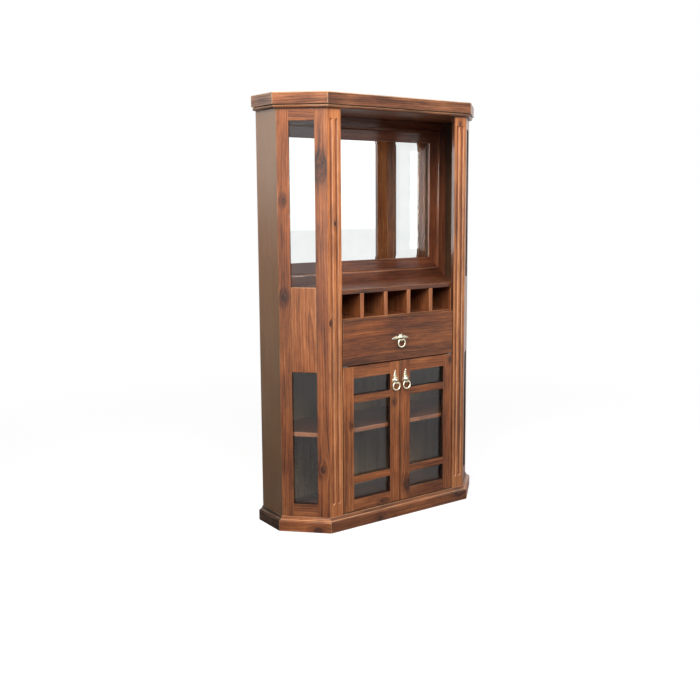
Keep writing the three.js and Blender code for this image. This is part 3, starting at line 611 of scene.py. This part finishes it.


# How much darker than its finish each node is, or lighter: partly each board's own tone, and partly painted shade on
# parts the lamps light more than they should look (the right-hand door, the drawer deck, the bottom board, the niche
# floor, the plinth, the cornice and the canted frames), with painted light on the pilasters. Then what comes on top on
# some of its members and faces.
SHADE_SPREAD = 0.05
TONES_AND_PAINTED_SHADES = {
    "cornice_side": 0.25,
    "cornice_corner": 0.2,
    "cornice_front": 0.26,
    "corner_frame": 0.17,
    "corner_panel": 0.11,
    "door_": 0.14,
    "door_right": 0.07,
    "drawer_deck": 0.5,
    "drawer_front": 0.29,
    "bottom_board": 0.5,
    "niche_floor": 0.3,
    "plinth_corner": 0.12,
    "plinth_front": 0.3,
    "plinth_side": 0.65,
    "pilaster_left": -0.18,
    "pilaster_right": -0.06,
    "rack_divider": -0.18,
    "shelf": -0.25,
}
FOOT_RAIL_PAINTED_SHADE, STILE_SHADE, MIRROR_FOOT_PAINTED_SHADE = 0.1, -0.07, 0.2  # members' own: the foot rails painted darker as shade towards the bottom, the door stiles a lighter tone
INWARD_PAINTED_SHADES = {"side_panel": 0.55, "corner_panel": 0.3}  # painted shade on faces that look inwards
EDGE_PAINTED_SHADE = 0.6  # painted shade round a pane, and on the pilasters beside the opening
OUTER_EDGE_PAINTED_SHADE = 0.3  # painted shade round the outside of the doors and the drawer's front, in the gaps
OUTER_EDGE = 0.002  # how near its node's outside such a face lies
FLUTE_PAINTED_SHADE = 0.3  # painted shade at the bottom of a flute
SHELF_PAINTED_SHADE = 0.7  # painted shade on the top and underside of the shelf
LEDGE_PAINTED_SHADE = 0.3  # painted shade on faces of the mirror's frame that look up
# Painted shade on the faces inside the rack's slots.
SLOT_PAINTED_SHADE = 0.2
DOWNWARD_WEAR_AND_HIGHLIGHT = 0.2  # of the wear and painted highlight, the share kept on edges that look down, which stay in shade
# Nodes that get painted shade on their edges round the panes and in the gaps.
DARK_EDGED = ("door_", "drawer_front", "corner_frame")
# How dull a node's faces are: less gloss, and a greyer colour that is partly painted haze of reflected light.
DULLED = {"cornice_side": 1.0, "plinth_side": 1.0, "cornice_corner": 0.3, "cornice_front": 0.4}
CRISP = ("door_left", "door_right", "drawer_front")  # sharper edges
CRISP_ARRIS = 0.0009
KEPT_STAIN_AND_DIMMED_HIGHLIGHT = {  # how much of the stain the eased edges kept, dimming their wear and painted highlight
    "door_": 0.75,
    "drawer_front": 0.75,
    "corner_frame": 0.6,
    "corner_panel": 0.5,
    "plinth_side": 0.3,
    "plinth": 0.5,
    "cornice": 0.35,
}
FLUTE_DEPTH = 0.0055
# How deep a flute's worn rim reaches, which also carries a painted highlight.
FLUTE_WEAR_AND_HIGHLIGHT_DEPTH = 0.004

# How a member lay in its log: the pith beside it or within it, in its widths, and behind it, in metres.
STRAIGHT_GRAIN = ("drawer_front", "cornice_front", "pilaster_left", "pilaster_right")
STRAIGHT_SHARE = 0.6
PITH_BESIDE, PITH_WITHIN, PITH_BEHIND = (0.7, 1.2), 0.45, (0.004, 0.05)
GRAIN_SLIDE, GRAIN_TILT = 15, 0.02


def by_start(values, node):
    """The values for all the starts in a table that a node's name has, added up."""
    return sum(value for start, value in values.items() if node.startswith(start))


class Workpiece:
    """Gathers the members of a node in one mesh."""

    def __init__(self, node):
        self.node = node
        self.rng = random.Random(node)
        self.points, self.faces, self.smooth, self.edges, self.tones_and_painted_shades = [], [], [], [], []
        self.grain, self.knots = [], {slot: [] for slot in KNOT_SLOTS}

    def add(self, solid, member, arris):
        """Takes in one member, eased, with its own place in a log."""
        points = [vert.co.copy() for vert in solid.verts]
        axes = grain_axes(points, member.along)
        spans = [spread(points, axis) for axis in axes]
        _, width, thick = (high - low for low, high in spans)
        middle = [(low + high) / 2 for low, high in spans]
        rng = self.rng
        slide = rng.uniform(0, GRAIN_SLIDE)
        shade = by_start(TONES_AND_PAINTED_SHADES, self.node) + member.shade + rng.uniform(-SHADE_SPREAD, SHADE_SPREAD)
        if self.node in STRAIGHT_GRAIN or rng.random() < STRAIGHT_SHARE:
            pith_across = middle[1] + width * rng.choice((-1, 1)) * rng.uniform(*PITH_BESIDE)
        else:
            pith_across = middle[1] + width * rng.uniform(-PITH_WITHIN, PITH_WITHIN)
        pith_through = middle[2] + rng.choice((-1, 1)) * (thick / 2 + rng.uniform(*PITH_BEHIND))
        tilt = rng.uniform(-GRAIN_TILT, GRAIN_TILT)
        knots = knots_on(self.node, rng, axes, spans)
        knots += [None] * (len(KNOT_SLOTS) - len(knots))
        worn_and_highlit, hollow = ease(solid, arris)
        first = len(self.points)
        for vert in solid.verts:
            u, v, w = (vert.co.dot(axis) for axis in axes)
            self.points.append(vert.co.copy())
            run = u - middle[0]
            self.grain.append((run + slide, v - pith_across + tilt * run, w - pith_through))
            for slot, knot in zip(KNOT_SLOTS, knots):
                place = NO_KNOT if knot is None else (u - knot[0], v - knot[1], knot[2])
                self.knots[slot].append(place)
        solid.verts.index_update()
        for face in solid.faces:
            self.faces.append([first + vert.index for vert in face.verts])
            self.smooth.append(face.smooth)
            # A flute's rims are lightened as wear and painted highlight, and its bottom darkened as painted shade.
            flute = self.flute_share(face) if face in hollow or face in worn_and_highlit else 0.0
            rubbed_and_highlit = 1.0 if face in worn_and_highlit else max(0.0, 1 - flute * FLUTE_DEPTH / FLUTE_WEAR_AND_HIGHLIGHT_DEPTH) * (flute > 0)
            # Edges that look down keep less of their wear and painted highlight.
            if face.normal.z < -LEANING:
                rubbed_and_highlit *= DOWNWARD_WEAR_AND_HIGHLIGHT
            self.edges.append(rubbed_and_highlit * (1 - by_start(KEPT_STAIN_AND_DIMMED_HIGHLIGHT, self.node)))
            self.tones_and_painted_shades.append(shade + self.painted_face_shade(face, axes[2]) + flute * FLUTE_PAINTED_SHADE)
        solid.free()

    def flute_share(self, face):
        """How deep in a pilaster's flute a face lies, from 0 at its rim to 1 at its bottom."""
        if not self.node.startswith("pilaster"):
            return 0.0
        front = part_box(self.node)[0].y
        return min(1.0, max(0.0, (face.calc_center_median().y - front) / FLUTE_DEPTH))

    def painted_face_shade(self, face, through):
        """How much painted shade darkens a face beyond the rest of its member."""
        middle, normal = face.calc_center_median(), face.normal
        if self.node == "shelf":
            return SHELF_PAINTED_SHADE if abs(normal.z) > FACING else 0.0
        if self.node.startswith(DARK_EDGED) and abs(normal.dot(through)) < EDGE_ON:
            low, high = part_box(self.node)
            outer = min(middle.x - low.x, high.x - middle.x, middle.z - low.z, high.z - middle.z) < OUTER_EDGE
            return OUTER_EDGE_PAINTED_SHADE if outer else EDGE_PAINTED_SHADE
        # Painted shade on the pilasters' sides beside the opening.
        if self.node.startswith("pilaster") and abs(normal.x) > SIDEWAYS and normal.x * middle.x < 0:
            return EDGE_PAINTED_SHADE
        if self.node == "mirror_frame" and normal.z > LEANING:
            return LEDGE_PAINTED_SHADE
        if self.node.startswith("rack_") and abs(normal.y) < FACING:
            return SLOT_PAINTED_SHADE
        inward = normal.dot(INSIDE - middle) > 0 and abs(normal.z) < FACING
        return by_start(INWARD_PAINTED_SHADES, self.node) if inward else 0.0

    def build(self):
        mesh = bpy.data.meshes.new(self.node)
        mesh.from_pydata(self.points, [], self.faces)
        mesh.polygons.foreach_set("use_smooth", self.smooth)
        for name, values in {"grain": self.grain, **self.knots}.items():
            layer = mesh.attributes.new(name, "FLOAT_VECTOR", "POINT")
            layer.data.foreach_set("vector", [x for value in values for x in value])
        dull = [by_start(DULLED, self.node)] * len(self.faces)
        for name, values in {"shade": self.tones_and_painted_shades, "edge": self.edges, "dull": dull}.items():
            mesh.attributes.new(name, "FLOAT", "FACE").data.foreach_set("value", values)
        mesh.materials.append(finishes[slot_of[self.node]])
        stand_for(mesh, self.node)


def stand_for(mesh, node, name=None):
    """Puts a mesh in a CAD node's place."""
    piece = add_object(name or f"{node}_dressed", mesh)
    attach(piece, body_of[node])
    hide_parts(node)


def corner_frame_members(node):
    points = [vert.co for vert in frame["nodes"][node].data.vertices]
    along = CANT_LEFT if node.endswith("left") else CANT_RIGHT
    low, high = spread(points, along)
    foot, head = spread(points, Z)
    inner = between(along, low + CORNER_STILE, high - CORNER_STILE)
    return [
        Member(Z, between(along, high=low + CORNER_STILE)),
        Member(Z, between(along, low=high - CORNER_STILE)),
        Member(along, inner + between(Z, high=foot + RAIL_REACH), FOOT_RAIL_PAINTED_SHADE),
        Member(along, inner + between(Z, low=head - RAIL_REACH)),
    ]


def door_members(node):
    low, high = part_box(node)
    stiles = [
        Member(Z, between(X, high=low.x + DOOR_STILE), STILE_SHADE),
        Member(Z, between(X, low=high.x - DOOR_STILE), STILE_SHADE),
    ]
    inner = between(X, low.x + DOOR_STILE, high.x - DOOR_STILE)
    seams = [None, low.z + DOOR_SEAM, (low.z + high.z) / 2, high.z - DOOR_SEAM, None]
    return stiles + [Member(X, inner + between(Z, foot, head)) for foot, head in zip(seams, seams[1:])]


def mirror_frame_members(node):
    low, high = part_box(node)
    corners = {(i, j): Vector((x, 0, z)) for i, x in enumerate((low.x, high.x)) for j, z in enumerate((low.z, high.z))}
    rise, fall = Vector((1, 0, 1)).normalized(), Vector((-1, 0, 1)).normalized()
    return [
        Member(X, (Cut(corners[0, 1], rise), Cut(corners[1, 1], fall))),
        Member(X, (Cut(corners[0, 0], -fall), Cut(corners[1, 0], -rise)), MIRROR_FOOT_PAINTED_SHADE),
        Member(Z, (Cut(corners[0, 0], fall), Cut(corners[0, 1], -rise))),
        Member(Z, (Cut(corners[1, 0], rise), Cut(corners[1, 1], -fall))),
    ]


UPRIGHT = ("pilaster", "side_panel", "corner_panel", "back_panel", "rack_side", "rack_divider")
FRONT_TO_BACK = ("plinth_side", "cornice_side", "drawer_side", "drawer_runner")


def members_of(node):
    if node.startswith("corner_frame"):
        return corner_frame_members(node)
    if node in ("door_left", "door_right"):
        return door_members(node)
    if node == "mirror_frame":
        return mirror_frame_members(node)
    if node.startswith(("plinth_corner", "cornice_corner")):
        return [Member(CANT_LEFT if node.endswith("left") else CANT_RIGHT)]
    if node.startswith(UPRIGHT):
        return [Member(Z)]
    if node.startswith(FRONT_TO_BACK):
        return [Member(Y)]
    return [Member(X)]


def dress_woodwork():
    for node, slot in slot_of.items():
        if slot not in STAINS:
            continue
        arris = CRISP_ARRIS if node in CRISP else ARRISES.get(slot, BOARD_ARRIS)
        piece = Workpiece(node)
        for member in members_of(node):
            solid = welded(node)
            for cut in member.cuts:
                keep_side(solid, cut)
            piece.add(solid, member, arris)
        piece.build()


# ---- Ring pulls
#
# Each is made at its own origin, the middle of its hood on the face that carries it, and then set in place.

LEAF_ROOT, LEAF_TIP = 0.008, 0.046
LEAF_HALF = 0.0098
LEAF_LOBES = 4
LEAF_RISE = 0.003
LEAF_GRID = (57, 21)
LEAF_DROOP = 0.0035  # how far the drawer's leaves hang at their tips
LEAF_EDGE = 0.0004  # how thick a leaf is at its rim
LEAF_SWELL, LEAF_TAPER = 0.22, (1.7, 0.8)  # where a leaf is full, and how it narrows to its tip
LOBE_START, LOBE_DEPTH = 0.35, 0.26
MIDRIB_RISE, MIDRIB_WIDTH = 0.0006, 0.13
VEIN_RISE, VEIN_SWEEP, VEINS_PER_LOBE = 0.00028, 1.1, 1.5
PLATE_FIELD = 0.0125  # the sunk middle of the plate
PLATE_PROFILE = ((0.0145, 0.0), (0.0145, 0.0008), (0.0139, 0.0015), (0.0130, 0.0017), (0.0121, 0.0013), (0.0, 0.0013))
HOOD_PROFILE = (
    (0.0136, 0.0010),
    (0.0140, 0.0028),
    (0.0136, 0.0052),
    (0.0124, 0.0078),
    (0.0108, 0.0094),
    (0.0096, 0.0096),
    (0.0088, 0.0089),
    (0.0078, 0.0087),
    (0.0069, 0.0095),
    (0.0058, 0.0112),
    (0.0038, 0.0125),
    (0.0018, 0.0130),
    (0.0, 0.0131),
)
HOOD_LIFT = 0.003
GROOVE_BAND = (0.0064, 0.0098)
TURNED_STEPS = 48
PIVOT = Vector((0, -0.011, -0.010))  # the axis on which the ring swings
POCKET_RADIUS, POCKET_HALF, POCKET_STEPS = 0.0072, 0.02, 40
ON_POCKET = 0.00005  # how near the pocket's face a point counts as its own
EYE_RADIUS, EYE_WIRE = 0.0048, 0.0014
POST_ROOT, POST_RADIUS, POST_STEPS = 0.0008, 0.0022, 20
RING_WIRE = 0.003
RING_HALF_WIDTH, RING_HALF_HEIGHT = 0.0175, 0.0170
RING_DIP, RING_DIP_WIDTH = 0.005, 0.007
LOOP_INPUTS = {
    **dict.fromkeys(("Half Width", "Half Height", "Dip", "Dip Width", "Wire"), "Float"),
    "Steps": "Int",
    "Wire Steps": "Int",
}
RING_SIZES = (RING_HALF_WIDTH, RING_HALF_HEIGHT, RING_DIP, RING_DIP_WIDTH, RING_WIRE, 96, 20)
EYE_SIZES = (EYE_RADIUS, EYE_RADIUS, 0.0, 1.0, EYE_WIRE, 32, 14)
LEAVES_INPUTS = {"Leaf": "Object", "Count": "Int", **dict.fromkeys(("First Turn", "Root", "Tip", "Droop"), "Float")}
HOLLOW_PATINA_AND_SHADE, BRIGHT = 0.7, 0.1  # how hollow the plate's field and its rim look, in patina and painted shade
CAST_CREASE = math.radians(40)


def leaf_half(share):
    """Half the leaf's width on its way from root to tip, with rounded lobes."""
    taper, fullness = LEAF_TAPER
    body = (0.5 + 0.5 * min(1, share / LEAF_SWELL)) * (1 - share**taper) ** fullness
    lobe = 0.5 + 0.5 * math.cos(math.tau * (share * LEAF_LOBES - LOBE_START))
    return LEAF_HALF * body * (1 - LOBE_DEPTH + LOBE_DEPTH * lobe)


def leaf():
    """A domed leaf with a midrib and side veins, lying on the face along X."""
    rows, columns = LEAF_GRID
    points, hollows, faces = [], [], []
    for i in range(rows):
        share = i / (rows - 1)
        along = LEAF_ROOT + (LEAF_TIP - LEAF_ROOT) * share
        for j in range(columns):
            side = 2 * j / (columns - 1) - 1
            vein = math.cos(math.tau * (share * LEAF_LOBES * VEINS_PER_LOBE - abs(side) * VEIN_SWEEP))
            rim = (1 - abs(side) ** 3) * min(1, (1 - share) * 6 + 0.15)
            dome = LEAF_RISE * (0.3 + 0.7 * math.sqrt(max(0.0, 1 - side * side))) * rim
            midrib = MIDRIB_RISE * math.exp(-((side / MIDRIB_WIDTH) ** 2)) * rim
            veins = VEIN_RISE * vein * rim * (abs(side) > 0.1)
            points.append((along, -LEAF_EDGE - (dome + (midrib + veins)), side * leaf_half(share)))
            # Between the veins and towards its rim the leaf is drawn hollow: partly patina and partly painted shade.
            hollows.append(min(1, max(0, 0.35 - 0.5 * vein) * rim + 0.55 * abs(side) ** 4))
    grid = [[i * columns + j for j in range(columns)] for i in range(rows)]
    for row, after in zip(grid, grid[1:]):
        faces += zip(row, row[1:], after[1:], after)
    border = grid[0] + [row[-1] for row in grid[1:-1]] + grid[-1][::-1] + [row[0] for row in grid[-2:0:-1]]
    foot = list(range(len(points), len(points) + len(border)))
    points += [(points[index][0], 0.0, points[index][2]) for index in border]
    # The leaf's upright rim is drawn fully hollow: partly patina and partly painted shade.
    hollows += [1.0] * len(border)
    faces += zip(border, foot, foot[1:] + foot[:1], border[1:] + border[:1])
    faces.append(tuple(foot))
    return points, faces, hollows


def circle(steps):
    return [(math.cos(math.tau * k / steps), math.sin(math.tau * k / steps)) for k in range(steps)]


def turned(profile, lift, hollow_at):
    """A round form on the face, from radii and heights that end on its axis."""
    points, faces, hollows = [], [], []
    for radius, height in profile[:-1]:
        points += [(radius * x, -height, lift + radius * z) for x, z in circle(TURNED_STEPS)]
        hollows += [hollow_at(radius)] * TURNED_STEPS
    rings = [list(range(k, k + TURNED_STEPS)) for k in range(0, len(points), TURNED_STEPS)]
    for ring, after in zip(rings, rings[1:]):
        faces += zip(ring, ring[1:] + ring[:1], after[1:] + after[:1], after)
    last, tip = rings[-1], len(points)
    points.append((0, -profile[-1][1], lift))
    hollows.append(hollow_at(0))
    faces += [(a, b, tip) for a, b in zip(last, last[1:] + last[:1])]
    faces.append(tuple(rings[0][::-1]))
    return points, faces, hollows


def rod(start, end, radius, steps, hollow):
    """A short round rod with flat ends."""
    along = (end - start).normalized()
    side = along.orthogonal().normalized()
    other = along.cross(side)
    points = []
    for place in (start, end):
        points += [tuple(place + side * (radius * a) + other * (radius * b)) for a, b in circle(steps)]
    faces = [(k, (k + 1) % steps, steps + (k + 1) % steps, steps + k) for k in range(steps)]
    faces += [tuple(range(steps))[::-1], tuple(range(steps, 2 * steps))]
    return points, faces, [hollow] * len(points)


def shell_mesh(name, *parts):
    """Several closed shells in one mesh, facing outwards, with how hollow each point lies."""
    points, faces, hollows = [], [], []
    for part_points, part_faces, part_hollows in parts:
        first = len(points)
        points += part_points
        faces += [tuple(first + index for index in face) for face in part_faces]
        hollows += part_hollows
    mesh = bpy.data.meshes.new(name)
    mesh.from_pydata(points, [], faces)
    layer = mesh.attributes.new("hollow", "FLOAT", "POINT")
    layer.data.foreach_set("value", hollows)
    shells = bmesh.new()
    shells.from_mesh(mesh)
    bmesh.ops.recalc_face_normals(shells, faces=shells.faces)
    shells.to_mesh(mesh)
    shells.free()
    return mesh


def as_part(mesh, hollow=None):
    """Points, faces and hollows of a mesh; one hollow for all, or its own."""
    points = [tuple(vert.co) for vert in mesh.vertices]
    faces = [tuple(face.vertices) for face in mesh.polygons]
    if hollow is not None:
        return points, faces, [hollow] * len(points)
    return points, faces, [item.value for item in mesh.attributes["hollow"].data]


def plain_mesh(piece):
    """What an object's modifiers make of it, as a plain mesh."""
    bpy.context.view_layer.update()
    mesh = bpy.data.meshes.new_from_object(piece.evaluated_get(bpy.context.evaluated_depsgraph_get()))
    piece.modifiers.clear()
    return mesh


def carved(body_mesh, tool_mesh):
    """The first mesh with the second cut out of it."""
    body, tool = add_object("body", body_mesh), add_object("tool", tool_mesh)
    cutter = body.modifiers.new("pocket", "BOOLEAN")
    cutter.operation, cutter.solver, cutter.object = "DIFFERENCE", "EXACT", tool
    mesh = plain_mesh(body)
    for piece in (body, tool):
        bpy.data.objects.remove(piece)
    return mesh


class Shape(Nodes):
    """A Geometry Nodes tree with named inputs, the last of them its material."""

    def __init__(self, name, inputs):
        super().__init__(bpy.data.node_groups.new(name, "GeometryNodeTree"))
        for label, kind in {**inputs, "Material": "Material"}.items():
            self.tree.interface.new_socket(label, in_out="INPUT", socket_type=f"NodeSocket{kind}")
        self.tree.interface.new_socket("Geometry", in_out="OUTPUT", socket_type="NodeSocketGeometry")
        self.given = self.tree.nodes.new("NodeGroupInput").outputs

    def make(self, kind, inputs=None):
        """Adds a geometry node and gives its first output."""
        return self.node("GeometryNode" + kind, inputs).outputs[0]

    def end(self, geometry):
        """Ends the tree with real, smooth faces in the given material."""
        real = self.make("RealizeInstances", {"Geometry": self.make("SetShadeSmooth", {"Geometry": geometry})})
        shown = self.make("SetMaterial", {"Geometry": real, "Material": self.given["Material"]})
        self.tree.links.new(shown, self.tree.nodes.new("NodeGroupOutput").inputs[0])
        return self.tree


def wire_loop_tree():
    """Round wire along an upright oval, whose top can dip."""
    s = Shape("wire loop", LOOP_INPUTS)
    path = s.make("CurvePrimitiveCircle", {"Resolution": s.given["Steps"], "Radius": 1.0})
    across, up, _ = s.separate(s.make("InputPosition"))
    x = s.times(across, s.given["Half Width"])
    from_middle = s.squared(s.math("ABSOLUTE", s.over(x, s.given["Dip Width"])))
    dip = s.times(s.given["Dip"], s.math("EXPONENT", s.times(from_middle, -1.0)))
    dip = s.times(dip, s.math("MAXIMUM", up, 0.0))
    z = s.minus(s.times(up, s.given["Half Height"]), dip)
    path = s.make("SetPosition", {"Geometry": path, "Position": s.combine(x, 0.0, z)})
    wire = s.make("CurvePrimitiveCircle", {"Resolution": s.given["Wire Steps"], "Radius": s.given["Wire"]})
    return s.end(s.make("CurveToMesh", {"Curve": path, "Profile Curve": wire}))


def leaves_tree():
    """Copies of a leaf, spread evenly round the middle of a plate and drooping towards their tips."""
    s = Shape("leaves", LEAVES_INPUTS)
    middles = s.make("Points", {"Count": s.given["Count"]})
    pitch = s.over(math.tau, s.given["Count"])
    turn = s.times_plus(s.make("InputIndex"), pitch, s.given["First Turn"])
    rotation = s.node("FunctionNodeEulerToRotation", {0: s.combine(0.0, turn, 0.0)}).outputs[0]
    one = s.node("GeometryNodeObjectInfo", {"Object": s.given["Leaf"]}).outputs["Geometry"]
    copies = s.make("InstanceOnPoints", {"Points": middles, "Instance": one, "Rotation": rotation})
    leaves = s.make("RealizeInstances", {"Geometry": copies})
    x, _, _ = s.separate(s.make("InputPosition"))
    share = s.remap(s.math("ABSOLUTE", x), s.given["Root"], s.given["Tip"])
    drop = s.times(s.squared(share), s.times(s.given["Droop"], -1.0))
    return s.end(s.make("SetPosition", {"Geometry": leaves, "Offset": s.combine(0.0, 0.0, drop)}))


def shaped(tree, name, values):
    """The plain brass mesh that a tree makes from the values of its inputs."""
    carrier = add_object(name, bpy.data.meshes.new(name))
    modifier = carrier.modifiers.new(tree.name, "NODES")
    modifier.node_group = tree
    sockets = [socket for socket in tree.interface.items_tree if socket.in_out == "INPUT"]
    for socket, value in zip(sockets, (*values, finishes["pull_brass"])):
        modifier[socket.identifier] = value
    mesh = plain_mesh(carrier)
    bpy.data.objects.remove(carrier)
    return mesh


def arched_hood():
    """A domed hood with a grooved arch, hollowed from below where the ring swings."""
    near, far = GROOVE_BAND
    # The groove of the arch is drawn hollow: partly patina and partly painted shade.
    dome = turned(HOOD_PROFILE, HOOD_LIFT, lambda radius: 0.9 if near < radius < far else 0.0)
    reach = X * POCKET_HALF
    tool = rod(PIVOT - reach, PIVOT + reach, POCKET_RADIUS, POCKET_STEPS, 1.0)
    hood = carved(shell_mesh("hood", dome), shell_mesh("pocket", tool))
    # Faces of the pocket, under the hood, are drawn fully hollow: partly patina and partly painted shade.
    hollow = hood.attributes["hollow"].data
    for vert in hood.vertices:
        from_axis = math.hypot(vert.co.y - PIVOT.y, vert.co.z - PIVOT.z)
        if from_axis < POCKET_RADIUS + ON_POCKET:
            hollow[vert.index].value = 1.0
    return hood


def finish_pull(mesh, node, origin):
    mesh.transform(Matrix.Translation(origin))
    for face in mesh.polygons:
        face.use_smooth = True
    mesh.set_sharp_from_angle(angle=CAST_CREASE)
    mesh.materials.append(finishes["pull_brass"])
    stand_for(mesh, node, mesh.name)


def pull_plate(node, origin, leaves, hood, eye):
    """Backplate, hood, eye, post and leaves of a pull."""
    plate = turned(PLATE_PROFILE, 0.0, lambda radius: HOLLOW_PATINA_AND_SHADE if radius < PLATE_FIELD else BRIGHT)
    post = rod(Vector((0, -POST_ROOT, PIVOT.z)), PIVOT + Y * EYE_RADIUS, POST_RADIUS, POST_STEPS, HOLLOW_PATINA_AND_SHADE)
    finish_pull(shell_mesh(f"{node}_cast", plate, hood, eye, post, leaves), node, origin)


def swing_ring(node, origin, ring):
    """The ring that swings in the eye."""
    finish_pull(shell_mesh(f"{node}_wire", ring), node, origin)


def fit_pulls():
    hood = as_part(arched_hood())
    loop_tree, leaf_tree = wire_loop_tree(), leaves_tree()

    def wire(name, place, hollow, sizes):
        loop = shaped(loop_tree, name, sizes)
        loop.transform(place)
        return as_part(loop, hollow)

    upright = Matrix.Translation(PIVOT) @ Matrix.Rotation(math.pi / 2, 4, "Z")
    # The eye, in the hood's pocket, is drawn half hollow: partly patina and partly painted shade.
    eye = wire("eye", upright, 0.5, EYE_SIZES)
    hanging = Matrix.Translation(PIVOT + Z * (RING_DIP - RING_HALF_HEIGHT))
    ring = wire("ring", hanging, 0.0, RING_SIZES)
    one = add_object("leaf", shell_mesh("leaf", leaf()))
    sideways = as_part(shaped(leaf_tree, "leaves", (one, 2, 0.0, LEAF_ROOT, LEAF_TIP, LEAF_DROOP)))
    upwards = as_part(shaped(leaf_tree, "leaves", (one, 1, -math.pi / 2, LEAF_ROOT, LEAF_TIP, 0.0)))
    bpy.data.objects.remove(one)
    for name, leaves in (("drawer", sideways), ("door_left", upwards), ("door_right", upwards)):
        origin = joint_place[f"{name}_ring_swing"] - PIVOT
        pull_plate(f"{name}_pull_plate", origin, leaves, hood, eye)
        swing_ring(f"{name}_pull_ring", origin, ring)


def finish_frame_nodes():
    """Gives the nodes that stay as they are their finish."""
    for node, slot in slot_of.items():
        if slot in ("window_glass", "mirror_glass", "pivot_steel"):
            mesh = frame["nodes"][node].data
            mesh.materials.clear()
            mesh.materials.append(finishes[slot])


# ---- Studio and camera

CAMERA_PLACE = (-2.2945, -3.1523, 1.3544)
CAMERA_TURN = 36.67  # from straight ahead towards the right, in degrees
CAMERA_TILT = 7.76  # down, in degrees
CAMERA_LENS, CAMERA_SENSOR = 46.738, 36.0
CAMERA_SHIFT = (-0.0571, -0.04)

FLOOR_HALF = 30.0
FLOOR_GLOW, FLOOR_MIRRORED = 0.84, 0.22
FLOOR_FADE = (1.3, 3.6)
FLOOR_TONES = ((0.3, 0.25), (0.7, 0.28))


def set_camera():
    data = bpy.data.cameras.new("camera")
    data.sensor_width = CAMERA_SENSOR
    data.lens = CAMERA_LENS
    data.shift_x, data.shift_y = CAMERA_SHIFT
    camera = add_object("camera", data)
    camera.location = CAMERA_PLACE
    camera.rotation_euler = (math.radians(90 - CAMERA_TILT), 0, -math.radians(CAMERA_TURN))
    bpy.context.scene.camera = camera


def add_softbox(name, place, target, width, height, watts, spread=180, lights=True, reflected=True):
    data = bpy.data.lights.new(name, "AREA")
    data.shape = "RECTANGLE"
    data.size, data.size_y = width, height
    data.energy = watts
    data.spread = math.radians(spread)
    lamp = add_object(name, data)
    lamp.location = place
    facing = Vector(target) - Vector(place)
    lamp.rotation_euler = facing.to_track_quat("-Z", "Y").to_euler()
    lamp.visible_camera, lamp.visible_diffuse, lamp.visible_glossy = False, lights, reflected


def set_world(ambient, reflected):
    """Plain white to the camera, with its own strength as light and in what shines."""
    world = bpy.data.worlds.new("studio")
    bpy.context.scene.world = world
    world.use_nodes = True
    world.node_tree.nodes.clear()
    w = Nodes(world.node_tree)
    rays = w.node("LightPath").outputs

    def white(strength):
        return w.node("Background", {"Color": (1, 1, 1, 1), "Strength": strength}).outputs[0]

    shown = white(ambient)
    strengths = {"Is Glossy Ray": reflected, "Is Transmission Ray": 1.0, "Is Camera Ray": 1.0}
    for ray, strength in strengths.items():
        shown = w.node("MixShader", {0: rays[ray], 1: shown, 2: white(strength)}).outputs[0]
    w.node("OutputWorld", {"Surface": shown})


def add_floor():
    """A pale floor that reads as white and keeps the shadow; far away it is the white of the background."""
    f = Finish("pale floor")
    place = f.node("TexCoord").outputs["Object"]
    away = f.node("VectorMath", {0: place}, operation="LENGTH").outputs["Value"]
    far = f.remap(away, *FLOOR_FADE, smooth=True)
    speckle = f.grey(place, scale=60.0, detail=3.0)
    tone = f.ramp(speckle, [(place, (grey,) * 3) for place, grey in FLOOR_TONES])
    matt = f.node("BsdfDiffuse", {"Color": f.mix(far, tone, (0, 0, 0, 1))})
    rays = f.node("LightPath").outputs
    seen = f.math("MAXIMUM", rays["Is Camera Ray"], rays["Is Transmission Ray"])
    strength = f.times(seen, f.remap(far, 0.0, 1.0, FLOOR_GLOW, 1.0))
    mirrored = f.times(rays["Is Glossy Ray"], f.remap(far, 0.0, 1.0, FLOOR_MIRRORED, 1.0))
    glow = f.node("Emission", {"Color": (1, 1, 1, 1), "Strength": f.math("MAXIMUM", strength, mirrored)})
    both = f.node("AddShader", {0: matt.outputs[0], 1: glow.outputs[0]})
    f.surface(both.outputs[0])
    mesh = bpy.data.meshes.new("floor")
    h = FLOOR_HALF
    mesh.from_pydata([(-h, -h, 0), (h, -h, 0), (h, h, 0), (-h, h, 0)], [], [(0, 1, 2, 3)])
    mesh.materials.append(f.material)
    add_object("floor", mesh)


def light_studio():
    set_world(ambient=0.12, reflected=1.3)
    add_softbox("key", (-1.9, -1.35, 3.1), (0, 0, 1.5), 1.2, 1.2, 46, spread=130, reflected=False)
    add_softbox("front", (-1.1, -3.0, 2.9), (0, 0, 1.5), 1.6, 1.6, 46, spread=110)
    add_softbox("back_left", (-1.7, 1.3, 1.75), (-0.5, 0.05, 1.45), 0.9, 0.9, 6.5, spread=90)
    add_softbox("right", (3.4, -0.9, 1.9), (0, 0, 0.9), 2.0, 2.0, 18, reflected=False)
    add_softbox("back", (1.0, 2.8, 2.2), (0, 0, 0.9), 1.5, 1.5, 12, reflected=False)
    # This one only shows in what shines.
    add_softbox("window_strip", (-2.2, -2.15, 1.4), (0.3, 0.1, 1.35), 0.7, 1.1, 43, lights=False)


bpy.context.scene.view_settings.view_transform = "Standard"
set_camera()
light_studio()
add_floor()
dress_woodwork()
fit_pulls()
finish_frame_nodes()
